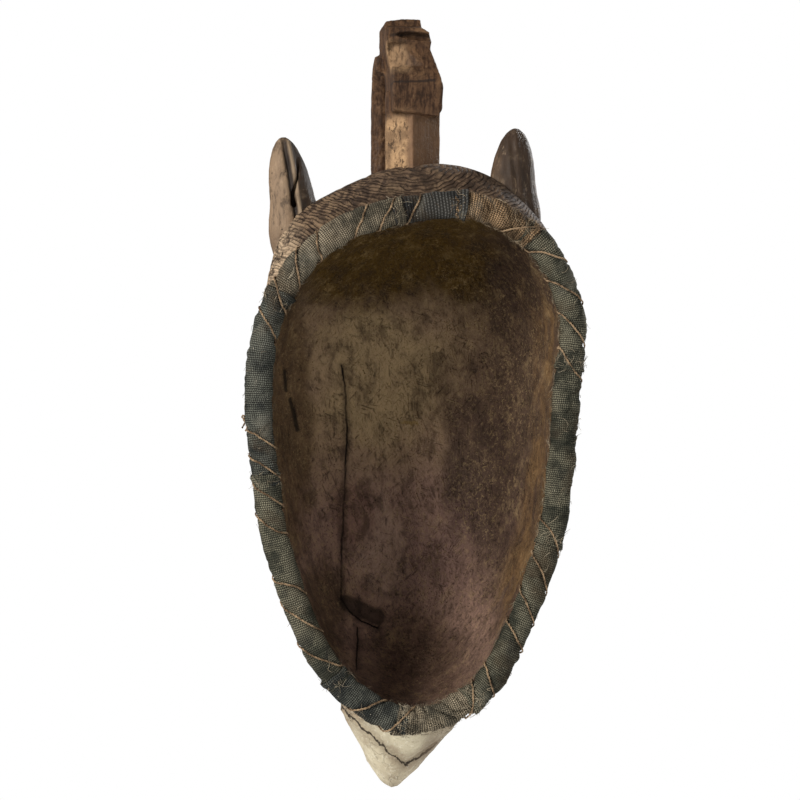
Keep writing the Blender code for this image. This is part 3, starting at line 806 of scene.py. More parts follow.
@dataclass
class CarvedPiece:
    """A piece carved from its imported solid: cut, worn round and grained."""

    name: str
    node: str
    slot: str
    cuts: Sequence[Cut] = ()
    voxel: float = 0.00065
    soften: int = 3
    weld: float = 1e-6

    def worn(self, point: Vector, normal: Vector) -> Vector:
        """Where a point of the plain carving goes. Each piece has its own way."""
        return point + normal * 0.0003 * rough_lumps(point, 0.012)

    def build(self) -> bpy.types.Mesh:
        """The carved mesh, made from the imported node's solid."""
        bm = bmesh.new()
        bm.from_mesh(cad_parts[self.node].data)
        bmesh.ops.remove_doubles(bm, verts=bm.verts, dist=self.weld)
        block = loose(self.name + "_block", bm)
        cutters = []
        for cut in self.cuts:
            cutters.append(loose(self.name + "_cut", cut.shape()))
            modifier = block.modifiers.new("cut", "BOOLEAN")
            modifier.operation = "DIFFERENCE"
            modifier.object = cutters[-1]
        remesh = block.modifiers.new("carve", "REMESH")
        remesh.mode = "VOXEL"
        remesh.voxel_size = self.voxel
        mesh = settled(block)
        for cutter in cutters:
            bpy.data.objects.remove(cutter, do_unlink=True)
        bm = bmesh.new()
        bm.from_mesh(mesh)
        for _ in range(self.soften):
            bmesh.ops.smooth_vert(
                bm, verts=bm.verts, factor=0.5, use_axis_x=True, use_axis_y=True, use_axis_z=True
            )
        bm.normal_update()
        moved = [self.worn(vert.co, vert.normal) for vert in bm.verts]
        for vert, place in zip(bm.verts, moved):
            vert.co = place
        bm.to_mesh(mesh)
        bm.free()
        return mesh


@dataclass
class Crest(CarvedPiece):
    """The crest: a five-sided post, a head with a hanging back and an arched bill."""

    name: str = "crest_carving"
    node: str = "crest"
    slot: str = "carved_wood"
    middle: tuple[float, float] = (-0.0055, -0.055)
    cuts: Sequence[Cut] = (
        Cut((-0.0062, -0.0376, 0.2232), (0.032, 0.02, 0.0135), yaw=-23),
        Cut((-0.007, -0.0395, 0.2335), (0.0125, 0.004, 0.0022), roll=-4, round=True),
        Cut((-0.0055, -0.0337, 0.2072), (0.034, 0.01, 0.034), pitch=-15),
        Cut((-0.006, -0.0352, 0.2085), (0.034, 0.01, 0.001)),
        Cut((0.01, -0.05, 0.1905), (0.0011, 0.015, 0.0028), round=True),
    )

    def worn(self, point: Vector, normal: Vector) -> Vector:
        """Chips, pits and a foot that spreads into the crown."""
        x, y, z = point
        move = 0.00028 * rough_lumps(point, 0.01, 3, 1.0)
        pitted = smoothstep(-0.0045, 0.0005, x) * smoothstep(0.194, 0.186, z)
        pitted = max(pitted, 0.55 * smoothstep(0.214, 0.218, z) * smoothstep(-0.006, 0.0, x))
        squeezed = Vector((x / 0.0011, y / 0.0011, z / 0.0021))
        pit = noise.noise(squeezed) + 0.5 * noise.noise(squeezed * 2.1)
        move -= 0.00055 * pitted * smoothstep(0.1, 0.55, pit)
        grain = noise.noise(Vector((x / 0.0009, y / 0.0009, z / 0.012)))
        move += 0.0001 * grain
        foot = smoothstep(0.163, 0.15, z) * smoothstep(0.14, 0.148, z)
        spread = Vector((x - self.middle[0], y - self.middle[1], 0.0))
        place = point + normal * move
        if spread.length > 1e-6 and y > -0.075:
            place += spread.normalized() * 0.002 * foot
        return place


@dataclass
class Horn(CarvedPiece):
    """A horn like an ear: an oval blade with a blunt tip."""

    slot: str = "horn_wood"
    foot: tuple[float, float] = (0.0, 0.0)
    lean: float = 0.0
    half_width: float = 0.014
    ridges: Sequence[tuple[float, float, float]] = ()
    voxel: float = 0.0007

    def worn(self, point: Vector, normal: Vector) -> Vector:
        """Soft ridges along the back, grain and a foot that spreads into the crown."""
        x, y, z = point
        rise = z - self.foot[1]
        across = (x - self.foot[0] - self.lean * rise) / self.half_width
        back = smoothstep(-0.0535, -0.047, y)
        move = 0.00025 * rough_lumps(point, 0.011, 3, 4.0)
        move += 0.00008 * noise.noise(Vector((x / 0.0009, y / 0.0009, z / 0.01)))
        swing = 0.08 * noise.noise(Vector((0.0, 0.0, z / 0.018)))
        for where, width, height in self.ridges:
            move += back * height * bell(across - where - swing, width)
        place = point + normal * move
        place.x += self.half_width * across * 0.22 * smoothstep(0.03, 0.004, rise)
        root = smoothstep(0.016, -0.003, rise)
        side = math.copysign(1.0, self.foot[0])
        place.z -= 0.009 * root * smoothstep(-0.6, 0.7, across * side)
        place.x -= side * 0.0045 * root * root
        return place


# ---------------------------------------------------------------- cloth binding and thread


class Weave(Enum):
    """The cloths that bind the rim."""

    INDIGO_RIBBED = "indigo_ribbed"
    INDIGO = "indigo"
    GREY_GREEN = "grey_green"
    FADED = "faded"
    TAN = "tan"


@dataclass(frozen=True)
class Strip:
    """One length of cloth round the rim, by shares of the rim's length."""

    name: str
    start: float
    end: float
    weave: Weave
    ruffle: float
    fray: int
    slot: str = "grey_green_cloth"


@dataclass
class Binding:
    """The padded cloth roll on the rim: its section, its strips and what is frayed."""

    rim: RimLine
    overlap: float = 0.003
    thickness: float = 0.0007
    station: float = 0.00095
    across: int = 44
    profile_step: float = 0.0004
    roll_sides: int = 14
    roll_rounds: int = 360
    section: Sequence[Place] = (
        (0.0052, -0.0168), (0.006, -0.0135), (0.0069, -0.01), (0.0073, -0.0072),
        (0.0066, -0.0046), (0.0045, -0.0026), (0.0016, -0.0016), (-0.0016, -0.0016),
        (-0.0045, -0.0026), (-0.0066, -0.0046), (-0.0073, -0.0072), (-0.0069, -0.01),
        (-0.006, -0.013), (-0.0052, -0.0156),
    )
    strips: Sequence[Strip] = (
        Strip("cloth_top_ribbed", -0.036, 0.012, Weave.INDIGO_RIBBED, 0.4, 90,
              "indigo_cloth"),
        Strip("cloth_upper_left", 0.012, 0.125, Weave.FADED, 0.7, 80),
        Strip("cloth_left", 0.125, 0.262, Weave.INDIGO, 0.6, 80),
        Strip("cloth_lower_left", 0.262, 0.42, Weave.GREY_GREEN, 0.35, 60),
        Strip("cloth_bottom_left", 0.42, 0.478, Weave.INDIGO, 0.4, 60, "indigo_cloth"),
        Strip("cloth_bottom_ruffled", 0.478, 0.535, Weave.FADED, 2.0, 170),
        Strip("cloth_lower_right", 0.535, 0.668, Weave.GREY_GREEN, 0.6, 80),
        Strip("cloth_right", 0.668, 0.8, Weave.GREY_GREEN, 0.8, 120),
        Strip("cloth_upper_right", 0.8, 0.908, Weave.GREY_GREEN, 0.8, 90),
        Strip("cloth_tan_patch", 0.908, 0.964, Weave.TAN, 1.2, 130, "tan_cloth"),
    )
    threads: dict[str, Sequence[float]] = field(default_factory=lambda: {
        "thread_top": (-0.008, 0.008, 0.03, 0.052),
        "thread_upper_left": (0.07, 0.086, 0.112, 0.136, 0.16),
        "thread_left": (0.222, 0.24, 0.262, 0.286, 0.306),
        "thread_lower_left": (0.33, 0.352, 0.384, 0.416),
        "thread_bottom_left": (0.44, 0.462, 0.489),
        "thread_bottom_right": (0.523, 0.545, 0.562),
        "thread_lower_right": (0.58, 0.602, 0.628, 0.655, 0.684),
        "thread_upper_right": (0.786, 0.812, 0.842, 0.872, 0.9, 0.928),
    })
    hole_y: float = -0.0205
    thread_radius: float = 0.00056
    thread_step: float = 0.00045
    twist_pitch: float = 0.004
    pinch_width: float = 0.0019
    crossing_steps: int = 16
    fibre_steps: int = 8
    fibre_radius: float = 0.00016

    def __post_init__(self) -> None:
        """Works out the even points of the section and of the thread crossings."""
        hands = [Vector((a, y, 0.0)) for a, y in self.section]
        self.profile = even_line(hands, self.profile_step)
        self.width = self.profile_step * (len(self.profile) - 1)
        self.crossings = [
            (here, after) for holes in self.threads.values()
            for here, after in zip(holes, holes[1:])
        ]

    def crossing_share(self, crossing: tuple[float, float], t: float) -> float:
        """Where along the rim a crossing lies when it is a share t of the way across."""
        return crossing[0] + (crossing[1] - crossing[0]) * smoothstep(0.12, 0.88, t)

    def pinch(self, share: float, t: float) -> float:
        """How hard the thread presses at a place of the cloth, 0 to 1."""
        hardest = 0.0
        for crossing in self.crossings:
            gap = (share - crossing[0] + 0.5) % 1.0 - 0.5
            if -0.012 < gap < crossing[1] - crossing[0] + 0.012:
                away = (gap - (self.crossing_share(crossing, t) - crossing[0])) * self.rim.length
                hardest = max(hardest, bell(away, self.pinch_width))
        return hardest

    def surface(self, share: float, t: float, lift: float = 0.0, ruffle: float = 0.35) -> Vector:
        """A point of the cloth's outer side.

        Args:
            share: the place round the rim.
            t: the place across, 0 at the outer edge and 1 at the inner one.
            lift: how far above the cloth the point lies.
            ruffle: how strongly the cloth is gathered there.

        Returns:
            The world point.
        """
        place = min(max(t, 0.0), 1.0) * (len(self.profile) - 1)
        low = min(int(place), len(self.profile) - 2)
        here = self.profile[low].lerp(self.profile[low + 1], place - low)
        way = self.profile[min(low + 2, len(self.profile) - 1)] - self.profile[max(low - 1, 0)]
        normal = Vector((way.y, -way.x, 0.0)).normalized()
        flat = Vector((share * self.rim.length, t * self.width, 0.0))
        puff = 0.0009 * lumps(flat, 0.013, 2.0) + 0.00045 * ruffle * lumps(
            Vector((flat.x / 0.0034, flat.y / 0.012, 0.0)), 1.0, 6.0)
        gathered = lumps(Vector((flat.x, flat.y * 0.5, 0.0)), 0.0075, 11.0)
        puff += 0.001 * ruffle * max(gathered, -0.4)
        fold = abs(lumps(Vector((flat.x + flat.y * 0.6, flat.y * 0.35, 0.0)), 0.006, 17.0))
        puff -= 0.0011 * ruffle * smoothstep(0.16, 0.0, fold)
        puff -= 0.0012 * self.pinch(share, t)
        move = normal * (puff * smoothstep(0.0, 0.12, t) * smoothstep(1.0, 0.9, t) + lift)
        return self.rim.at(share, here.x + move.x, here.y + move.y)

    def cloth(self, strip: Strip) -> bpy.types.Mesh:
        """One strip, folded over the rim, with its own cloth lengths as UV.

        Args:
            strip: which one.

        Returns:
            Its closed mesh.
        """
        length = (strip.end - strip.start) * self.rim.length + 2 * self.overlap
        count = round(length / self.station)
        bm = bmesh.new()
        bmesh.ops.create_grid(bm, x_segments=count, y_segments=self.across, size=0.5)
        layer = bm.loops.layers.uv.new("cloth")
        for face in bm.faces:
            for loop in face.loops:
                x, y, _ = loop.vert.co
                loop[layer].uv = ((x + 0.5) * length, (y + 0.5) * self.width)
        spare = self.overlap / self.rim.length
        for vert in bm.verts:
            u, t = vert.co.x + 0.5, vert.co.y + 0.5
            edge = 0.0009 * lumps(Vector((t * 9.0, strip.start * 50, 0.0)), 1.0)
            share = strip.start - spare + u * (strip.end - strip.start + 2 * spare)
            share += edge / self.rim.length * (1 if u > 0.5 else -1) * abs(2 * u - 1) ** 6
            run = Vector((share * self.rim.length / 0.006, 3.0 + strip.start, 0.0))
            low = 0.025 + 0.025 * noise.noise(run) + 0.02 * noise.noise(run * 4.3)
            high = 0.955 + 0.05 * noise.noise(run + Vector((0, 9, 0)))
            high += 0.045 * noise.noise(run * 4.7) + 0.02 * noise.noise(run * 13.0)
            near = u * length
            lift = 0.0011 * smoothstep(self.overlap * 1.6, self.overlap * 0.4, near)
            vert.co = self.surface(share, low + (high - low) * t, lift, strip.ruffle)
        bmesh.ops.recalc_face_normals(bm, faces=bm.faces)
        bm.normal_update()
        middle = min(bm.verts, key=lambda v: -v.co.y)
        if middle.normal.y < 0:
            bmesh.ops.reverse_faces(bm, faces=bm.faces)
        sheet = loose(strip.name, bm)
        thick = sheet.modifiers.new("thickness", "SOLIDIFY")
        thick.thickness = self.thickness
        thick.offset = -1.0
        return settled(sheet)

    def padding(self) -> bpy.types.Mesh:
        """The lumpy roll of fibre under the cloth, one closed ring."""
        bm = bmesh.new()
        bmesh.ops.create_grid(
            bm, x_segments=self.roll_rounds, y_segments=self.roll_sides, size=0.5)
        for vert in bm.verts:
            u, v = vert.co.x + 0.5, (vert.co.y + 0.5) * math.tau
            out = 0.0038 * math.copysign(abs(math.cos(v)) ** 0.8, math.cos(v))
            deep = -0.00705 + 0.0016 * math.copysign(abs(math.sin(v)) ** 0.8, math.sin(v))
            place = self.rim.at(u, out, deep)
            vert.co = place + Vector((0, 1, 0)) * 0.0002 * lumps(place, 0.006, 8.0)
        bmesh.ops.remove_doubles(bm, verts=bm.verts, dist=2e-4)
        bmesh.ops.recalc_face_normals(bm, faces=bm.faces)
        mesh = bpy.data.meshes.new("padding")
        bm.to_mesh(mesh)
        bm.free()
        return mesh

    def route(self, holes: Sequence[float], seed: float) -> list[Vector]:
        """The smooth middle line of one thread through its holes and over the roll.

        Args:
            holes: the holes' places round the rim.
            seed: what its small bends depend on.

        Returns:
            Points close together.
        """
        radius = self.thread_radius
        wall = self.rim.wall / 2
        points = [self.rim.at(holes[0], -wall + 0.001, self.hole_y)]
        for here, after in zip(holes, holes[1:]):
            points.append(self.rim.at(here, wall - 0.0005, self.hole_y))
            points.append(self.rim.at(here, wall + 0.0012, self.hole_y + 0.0008))
            for k in range(self.crossing_steps + 1):
                t = 0.03 + 0.94 * k / self.crossing_steps
                share = self.crossing_share((here, after), t)
                bend = 0.0024 * noise.noise(Vector((k * 0.22, seed, here * 40)))
                bend += 0.0006 * noise.noise(Vector((k * 0.8, seed + 5, here * 40)))
                slack = 0.00035 * (1 + noise.noise(Vector((seed, k * 0.5, after * 40))))
                share += bend / self.rim.length
                points.append(self.surface(share, t, radius * 0.9 + slack))
            points.append(self.rim.at(after, -wall - 0.0012, self.hole_y + 0.0008))
            points.append(self.rim.at(after, -wall + 0.0005, self.hole_y))
        points.append(self.rim.at(holes[-1], wall - 0.001, self.hole_y))
        return even_line(points, self.thread_step)

    def twine(self, name: str, line: Sequence[Vector], radius: float) -> bpy.types.Mesh:
        """Two plies twisted round a line.

        Args:
            name: the piece's name.
            line: its middle line.
            radius: of the whole twine.

        Returns:
            The mesh.
        """
        frames = carried_sides(line)
        plies = []
        for ply in range(2):
            strand, gone = [], 0.0
            for i, (point, (side, up)) in enumerate(zip(line, frames)):
                if i:
                    gone += (point - line[i - 1]).length
                angle = math.tau * gone / self.twist_pitch + ply * math.pi
                swell = radius * (0.48 + 0.06 * noise.noise(Vector((gone / 0.005, ply * 5, 1))))
                strand.append(point + (side * math.cos(angle) + up * math.sin(angle)) * swell)
            plies.append(strand)
        return tubes(name, plies, radius * 0.54)

    def fibres(self, strip: Strip, picks: np.random.RandomState) -> list[list[Vector]]:
        """Loose yarn ends of one strip, at both of its ends and along its edges.

        Args:
            strip: which one.
            picks: where the draws come from.

        Returns:
            A line for each yarn.
        """
        lines = []
        for _ in range(strip.fray):
            where = picks.rand()
            if where < 0.25:
                share = strip.start + (picks.rand() - 0.4) * 0.006
                t = picks.uniform(0.1, 0.9)
            elif where < 0.38:
                share, t = strip.end + (picks.rand() - 0.5) * 0.006, picks.uniform(0.1, 0.9)
            else:
                share = picks.uniform(strip.start, strip.end)
                t = picks.choice((0.05, 0.08, 0.88, 0.91, 0.93, 0.95, 0.9, 0.86, 0.5, 0.3))
            length = picks.uniform(0.002, 0.0075)
            run = picks.uniform(-1, 1)
            cross = picks.uniform(-1, 1)
            turn = picks.uniform(-1.2, 1.2)
            high = picks.uniform(0.0004, 0.0022)
            line = []
            for k in range(self.fibre_steps):
                part = k / (self.fibre_steps - 1)
                angle = math.atan2(cross, run) + turn * part
                ds = math.cos(angle) * length * part / self.rim.length
                dt = math.sin(angle) * length * part / self.width
                lift = 0.0003 + high * part * part
                line.append(self.surface(share + ds, min(max(t + dt, 0.02), 0.98), lift))
            lines.append(line)
        return lines


@dataclass
class Knot:
    """A tied end of the twine: a tight overhand knot with a short tail."""

    name: str
    node: str
    radius: float
    loop_points: int = 72
    tail_points: int = 10
    step: float = 0.00035
    twine_radius: float = 0.0005

    def line(self) -> list[Vector]:
        """The knot's even middle line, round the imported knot's centre."""
        low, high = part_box(self.node)
        centre = (low + high) / 2
        size = self.radius * 0.36
        points = []
        for k in range(self.loop_points):
            a = math.tau * k / self.loop_points
            points.append(centre + Vector((
                size * (math.sin(a) + 2 * math.sin(2 * a)) * 0.8,
                size * 1.1 * -math.sin(3 * a),
                size * (math.cos(a) - 2 * math.cos(2 * a)) * 0.8,
            )))
        tail = Vector((0.2, 0.3, -1.0)).normalized()
        for k in range(self.tail_points):
            points.append(points[-1] + (tail + Vector((0.05 * k, 0, 0))) * 0.0005)
        return even_line(points, self.step)


# ---------------------------------------------------------------- finishes


@dataclass(frozen=True)
class Grains:
    """The noises that the coats outside share, so that dirt and wear fall together."""

    mottle: Wire
    fine: Wire
    dirt: Wire


@dataclass(frozen=True)
class BodyWood:
    """Old carved wood: smoke-dark patina in the hollow with painted light and shade on it, worn
    white clay paint outside.
    """

    body: CarvedBody
    # Hollow tones by height: ochre and top are patina darkened as painted shade under the top rim;
    # middle is painted light where most light falls; low is the purplish patina; bottom is darker
    # towards the bottom.
    ochre: Colour = (0.075, 0.042, 0.013)
    top: Colour = (0.105, 0.066, 0.032)
    middle: Colour = (0.35, 0.232, 0.14)
    low: Colour = (0.3, 0.184, 0.138)
    bottom: Colour = (0.072, 0.042, 0.03)
    amber: Colour = (0.19, 0.105, 0.042)
    clay: Colour = (0.56, 0.5, 0.36)
    stain: Colour = (0.24, 0.18, 0.115)
    bare: Colour = (0.33, 0.225, 0.14)
    hair: Colour = (0.105, 0.066, 0.042)
    dust: Colour = (0.48, 0.335, 0.165)
    rubbed: Colour = (0.23, 0.155, 0.092)
    strokes: Sequence[Place] = ((0.35, 0.1), (-0.75, 0.12), (1.25, 0.1), (0.05, 0.05))
    # Patches of the hollow: the pale ones near the middle are painted light; the dark ones under
    # the top rim and on both side walls are painted shade; the rest are mottled patina.
    patches: Sequence[tuple[Place, Place, Colour, float]] = (
        ((0.004, 0.05), (0.056, 0.05), (0.43, 0.305, 0.16), 0.8),
        ((0.01, 0.118), (0.09, 0.038), (0.085, 0.045, 0.004), 0.9),
        ((-0.046, -0.004), (0.028, 0.062), (0.07, 0.043, 0.035), 0.85),
        ((-0.024, -0.055), (0.03, 0.038), (0.22, 0.13, 0.108), 0.6),
        ((0.008, -0.045), (0.018, 0.036), (0.43, 0.285, 0.21), 0.6),
        ((0.022, -0.028), (0.018, 0.024), (0.2, 0.105, 0.078), 0.6),
        ((0.062, 0.02), (0.02, 0.1), (0.105, 0.06, 0.026), 0.8),
        ((-0.04, 0.04), (0.026, 0.04), (0.11, 0.066, 0.044), 0.6),
        ((0.045, -0.085), (0.02, 0.04), (0.085, 0.05, 0.022), 0.7),
        ((-0.01, -0.105), (0.036, 0.026), (0.13, 0.075, 0.052), 0.8),
    )

    def hollow(self, paint: Paint) -> Wire:
        """Paints the inside, with painted light and shade over its patina, and gives its relief."""
        x, y, z = paint.axes(paint.place())
        patches = paint.grain(26, 6, 0.62, bend=0.5)
        share = (z + 0.18) / 0.34 + (patches - 0.5) * 0.2
        # Painted light and shade by height: pale middle where most light falls, dark top under the
        # rim, over the patina's hues.
        paint.colour = paint.stops(share, [
            (0.1, self.bottom), (0.26, self.low), (0.46, self.low), (0.56, self.middle),
            (0.72, self.middle), (0.82, self.top), (0.92, self.ochre),
        ])
        # Lays the patches: painted light, painted shade and mottled patina.
        for centre, radii, tone, strength in self.patches:
            there = paint.spot(centre, radii) + (patches - 0.5) * 1.3
            paint.coat(there.ramp(0.02, 0.5) * strength, tone)
        # Painted shade: the -X wall darkened below the rim.
        wall = (x + (patches - 0.5) * 0.03).ramp(-0.036, -0.06) * z.ramp(-0.12, -0.07)
        paint.coat(wall * 0.88, (0.058, 0.033, 0.023))
        band = y.ramp(-0.066, -0.048) * x.ramp(-0.04, -0.055)
        band = band * z.ramp(-0.11, -0.06) * z.ramp(0.115, 0.07)
        band = band * paint.grain(70, 5, 0.65, stretch=(1, 1, 0.35)).ramp(0.38, 0.58)
        paint.coat(band * 0.8, self.amber)
        clouds = paint.grain(105, 8, 0.74, stretch=(1, 1, 0.55), bend=0.25)
        paint.coat(clouds.ramp(0.54, 0.36) * 0.6, (0.034, 0.02, 0.014))
        paint.coat(clouds.ramp(0.52, 0.7) * 0.34, self.dust)
        curls = paint.grain(620, 6, 0.78, stretch=(1, 1, 0.3), turn=(0, 0.55, 0), bend=0.35)
        cross = paint.grain(540, 6, 0.78, stretch=(1, 1, 0.26), turn=(0, -0.75, 0), bend=0.35)
        curls = curls.lowest(cross + 0.03)
        paint.coat(curls.ramp(0.48, 0.34) * 0.6, (0.024, 0.014, 0.008))
        dust = paint.grain(560, 6, 0.75, bend=0.8)
        speckled = dust.ramp(0.52, 0.66) * patches.ramp(0.36, 0.6)
        paint.coat(speckled * 0.45, self.dust)
        relief = curls * 0.8 + dust * 0.5 + clouds * 1.2
        return self.cracks(paint, self.strokes_on(paint, relief))

    def strokes_on(self, paint: Paint, relief: Wire) -> Wire:
        """Paints the short strokes that the tool left inside, and adds them to the relief."""
        for i, (turn, squeeze) in enumerate(self.strokes):
            marks = paint.grain(640 + 110 * i, 3, 0.65, stretch=(1, 1, squeeze), turn=(0, turn, 0),
                                bend=0.3)
            there = paint.grain(34 + 7 * i, 2, 0.5, stretch=(1, 1, 1 + i)).ramp(0.4, 0.6)
            dark = marks.ramp(0.42, 0.32) * there
            light = marks.ramp(0.58, 0.7) * there
            paint.coat(dark * 0.55, (0.018, 0.012, 0.009))
            paint.coat(light * 0.28, self.dust)
            relief = relief + (light - dark) * 0.35
        return relief

    def cracks(self, paint: Paint, relief: Wire) -> Wire:
        """Paints the hollow's pits, cracks, scar and cuts, with painted shade inside the cracks and
        cuts, and sinks them in the relief.
        """
        pits = paint.cells(520).ramp(0.2, 0.1) * paint.grain(70, 3, 0.5).ramp(0.46, 0.62)
        paint.coat(pits * 0.8, (0.01, 0.007, 0.005))
        wander = paint.wandering(110, 0.001)
        crack = paint.line(self.body.crack, wander)
        crack = crack.lowest(paint.line(self.body.lower_crack, wander))
        paint.coat(crack.ramp(0.004, 0.0008) * 0.36, (0.03, 0.019, 0.013))
        faint = paint.grain(55, 3, 0.6, stretch=(1, 1, 0.6)).ramp(0.36, 0.58) * 0.6 + 0.33
        # Painted shade: the thin near-black line inside the cracks.
        paint.coat(crack.ramp(0.00046, 0.00018) * faint, (0.008, 0.005, 0.004))
        scar = paint.line(self.body.scar, paint.wandering(90, 0.002)).ramp(0.0054, 0.0034)
        paint.coat(scar * 0.78, (0.024, 0.015, 0.011))
        cuts = paint.line(((0.0604, 0.0357), (0.0575, 0.026), (0.056, 0.0189)), wander)
        upper = paint.line(((0.064, 0.052), (0.063, 0.041)), wander)
        cuts = cuts.ramp(0.002, 0.0005).highest(upper.ramp(0.0016, 0.0004))
        # Painted shade: near-black lines inside the cuts.
        paint.coat(cuts * 0.85, (0.01, 0.007, 0.005))
        mark = paint.line(((-0.004, 0.0235), (-0.012, 0.0222)), paint.wandering(260, 0.003))
        paint.coat(mark.ramp(0.0016, 0.0003) * 0.55, (0.3, 0.19, 0.06))
        return relief - pits * 0.8 - crack.ramp(0.0006, 0.0002) * 2.0

    def outside(self, paint: Paint) -> Wire:
        """Paints the face, chin, crown and sides, and gives their relief."""
        grains = Grains(
            paint.grain(65, 6, 0.66), paint.grain(420, 4, 0.6), paint.grain(24, 5, 0.6, bend=0.4))
        relief = self.clay_coat(paint, grains)
        relief = self.crown(paint, grains, relief)
        self.chin(paint, grains)
        return relief

    def clay_coat(self, paint: Paint, grains: Grains) -> Wire:
        """Paints the cracked clay and the bare sides, and gives their relief."""
        _, y, z = paint.axes(paint.place())
        mottle, fine, dirt = grains.mottle, grains.fine, grains.dirt
        paint.colour = paint.blend(dirt.ramp(0.4, 0.68) * 0.55, self.clay, self.stain)
        paint.coat(mottle.ramp(0.47, 0.64) * 0.45, self.stain)
        paint.coat(fine.ramp(0.54, 0.68) * 0.38, (0.76, 0.71, 0.58))
        gritty = paint.grain(850, 3, 0.7)
        paint.coat(gritty.ramp(0.44, 0.32) * 0.42, self.stain)
        net = paint.node("TexVoronoi", {"feature": "DISTANCE_TO_EDGE"},
                         {"Vector": paint.wandering(120, 0.006), "Scale": 170.0})
        crazed = net.ramp(0.05, 0.01) * paint.grain(46, 4, 0.6).ramp(0.46, 0.6)
        paint.coat(crazed * 0.55, (0.15, 0.108, 0.068))
        lost = paint.grain(38, 6, 0.7, bend=0.5).ramp(0.605, 0.645)
        paint.coat(lost * 0.85, self.bare)
        relief = 0.5 + (fine - 0.5) * 0.6 + gritty * 0.3 - crazed * 0.35 - lost * 0.45
        spots = paint.cells(240).ramp(0.16, 0.08) * paint.grain(80, 2, 0.5).ramp(0.5, 0.62)
        paint.coat(spots * 0.7, (0.085, 0.06, 0.04))
        streaks = paint.grain(260, 5, 0.65, stretch=(1, 1, 0.07))
        tan = paint.blend(streaks.ramp(0.38, 0.66), (0.24, 0.155, 0.092), (0.52, 0.38, 0.25))
        tan = paint.blend(mottle.ramp(0.5, 0.66) * 0.6, tan, (0.62, 0.49, 0.345))
        tan = paint.blend(fine.ramp(0.46, 0.34) * 0.6, tan, (0.085, 0.054, 0.034))
        edge = (dirt - 0.5) * 0.22 + (mottle - 0.5) * 0.12
        sides = (y + edge).ramp(-0.078, -0.06) * (z + edge).ramp(-0.128, -0.108)
        sides = sides * (0.55 + lost.highest(streaks.ramp(0.42, 0.54)) * 0.45)
        paint.coat(sides, tan)
        return relief

    def crown(self, paint: Paint, grains: Grains, relief: Wire) -> Wire:
        """Paints the combed, dark crown, and gives the relief with its cuts in."""
        x, y, z = paint.axes(paint.place())
        mottle, fine, dirt = grains.mottle, grains.fine, grains.dirt
        brow = (x * x * 5.0 + (x ** 2.0) ** 2.0 * 700.0).lowest(0.053) + z - 0.083
        front = brow.ramp(-0.0007, 0.0007) * y.ramp(-0.064, -0.08)
        crown = (z + (dirt - 0.5) * 0.12).ramp(0.03, 0.062) * y.ramp(-0.086, -0.068)
        crown = (crown + front).lowest(1.0)
        bent = paint.wandering(24, 0.007)
        away = paint.vector("DISTANCE", paint.vector("MULTIPLY", bent, (1, 1.2, 1.5)),
                            (-0.0055, -0.066, 0.225), output="Value")
        away = away + (mottle - 0.5) * 0.0016
        combed = abs((away * (math.pi / 0.0021)).sine()).ramp(0.05, 0.9)
        strands = paint.grain(150, 6, 0.72, bend=0.8)
        # Rubbed streaks grow lighter towards +X.
        worn = x.ramp(-0.01, 0.06)
        flank = (x + (dirt - 0.5) * 0.03).ramp(0.052, 0.068)
        brown = paint.blend(strands.ramp(0.34, 0.66), (0.034, 0.022, 0.015), self.hair)
        brown = paint.blend(combed.ramp(0.6, 1.0) * strands.ramp(0.48, 0.6) * 0.34, brown,
                            self.rubbed)
        brown = paint.blend(worn * strands.ramp(0.46, 0.6) * 0.55, brown, self.rubbed)
        brown = paint.blend(mottle.ramp(0.54, 0.66) * 0.4, brown, self.rubbed)
        brown = paint.blend(combed.ramp(0.35, 0.05) * strands.ramp(0.58, 0.44) * 0.42, brown,
                            (0.014, 0.009, 0.006))
        brown = paint.blend(flank * strands.ramp(0.38, 0.56) * 0.85, brown, (0.46, 0.34, 0.225))
        brown = paint.blend(fine.ramp(0.46, 0.34) * 0.55, brown, (0.018, 0.012, 0.008))
        paint.coat(crown, brown)
        return relief * (1.0 - crown) + (combed * 0.7 + strands * 0.4) * crown

    def chin(self, paint: Paint, grains: Grains) -> None:
        """Paints the chin's crack with brown dirt round it and painted shade inside it, painted
        shade under the chin, and painted shade along the line between the lips.
        """
        x, y, z = paint.axes(paint.place())
        chin = paint.line(self.body.chin_crack, paint.wandering(130, 0.0044))
        chin = chin + (grains.fine - 0.5) * 0.0022
        back = y.ramp(-0.078, -0.066)
        paint.coat(chin.ramp(0.0075, 0.001) * back * 0.45, (0.16, 0.112, 0.07))
        # Painted shade: the dark line inside the crack.
        paint.coat(chin.ramp(0.001, 0.0003) * back * 0.93, (0.018, 0.012, 0.008))
        # Painted shade: the chin darkened towards its bottom on the -X side.
        under = back * z.ramp(-0.12, -0.14) * x.ramp(0.004, -0.02)
        paint.coat((under + (grains.mottle - 0.5) * 0.6).ramp(0.15, 0.8) * 0.62, (0.14, 0.1, 0.066))
        # Painted shade along the parting of the lips.
        parting = paint.line(((-0.0175, self.body.mouth_z), (0.0175, self.body.mouth_z)),
                             paint.wandering(160, 0.001))
        parting = parting.ramp(0.003, 0.0004) * y.ramp(-0.08, -0.095)
        paint.coat(parting * 0.5, (0.17, 0.1, 0.066))

    def material(self) -> bpy.types.Material:
        """The finished material."""
        paint = Paint("carved_wood_body", 0.62, 0.14)
        hollow = paint.node("Attribute", {"attribute_name": "hollow"}, output="Fac")
        inner_relief = self.hollow(paint)
        inner = paint.colour
        outer_relief = self.outside(paint)
        where = hollow.ramp(0.35, 0.65)
        paint.coat(where, inner)
        relief = outer_relief * (1.0 - where) * 1.3 + inner_relief * where * 1.5
        rough = 0.74 - where * 0.16 + (paint.grain(50) - 0.5) * 0.25
        return paint.finish(relief, 0.001, rough)


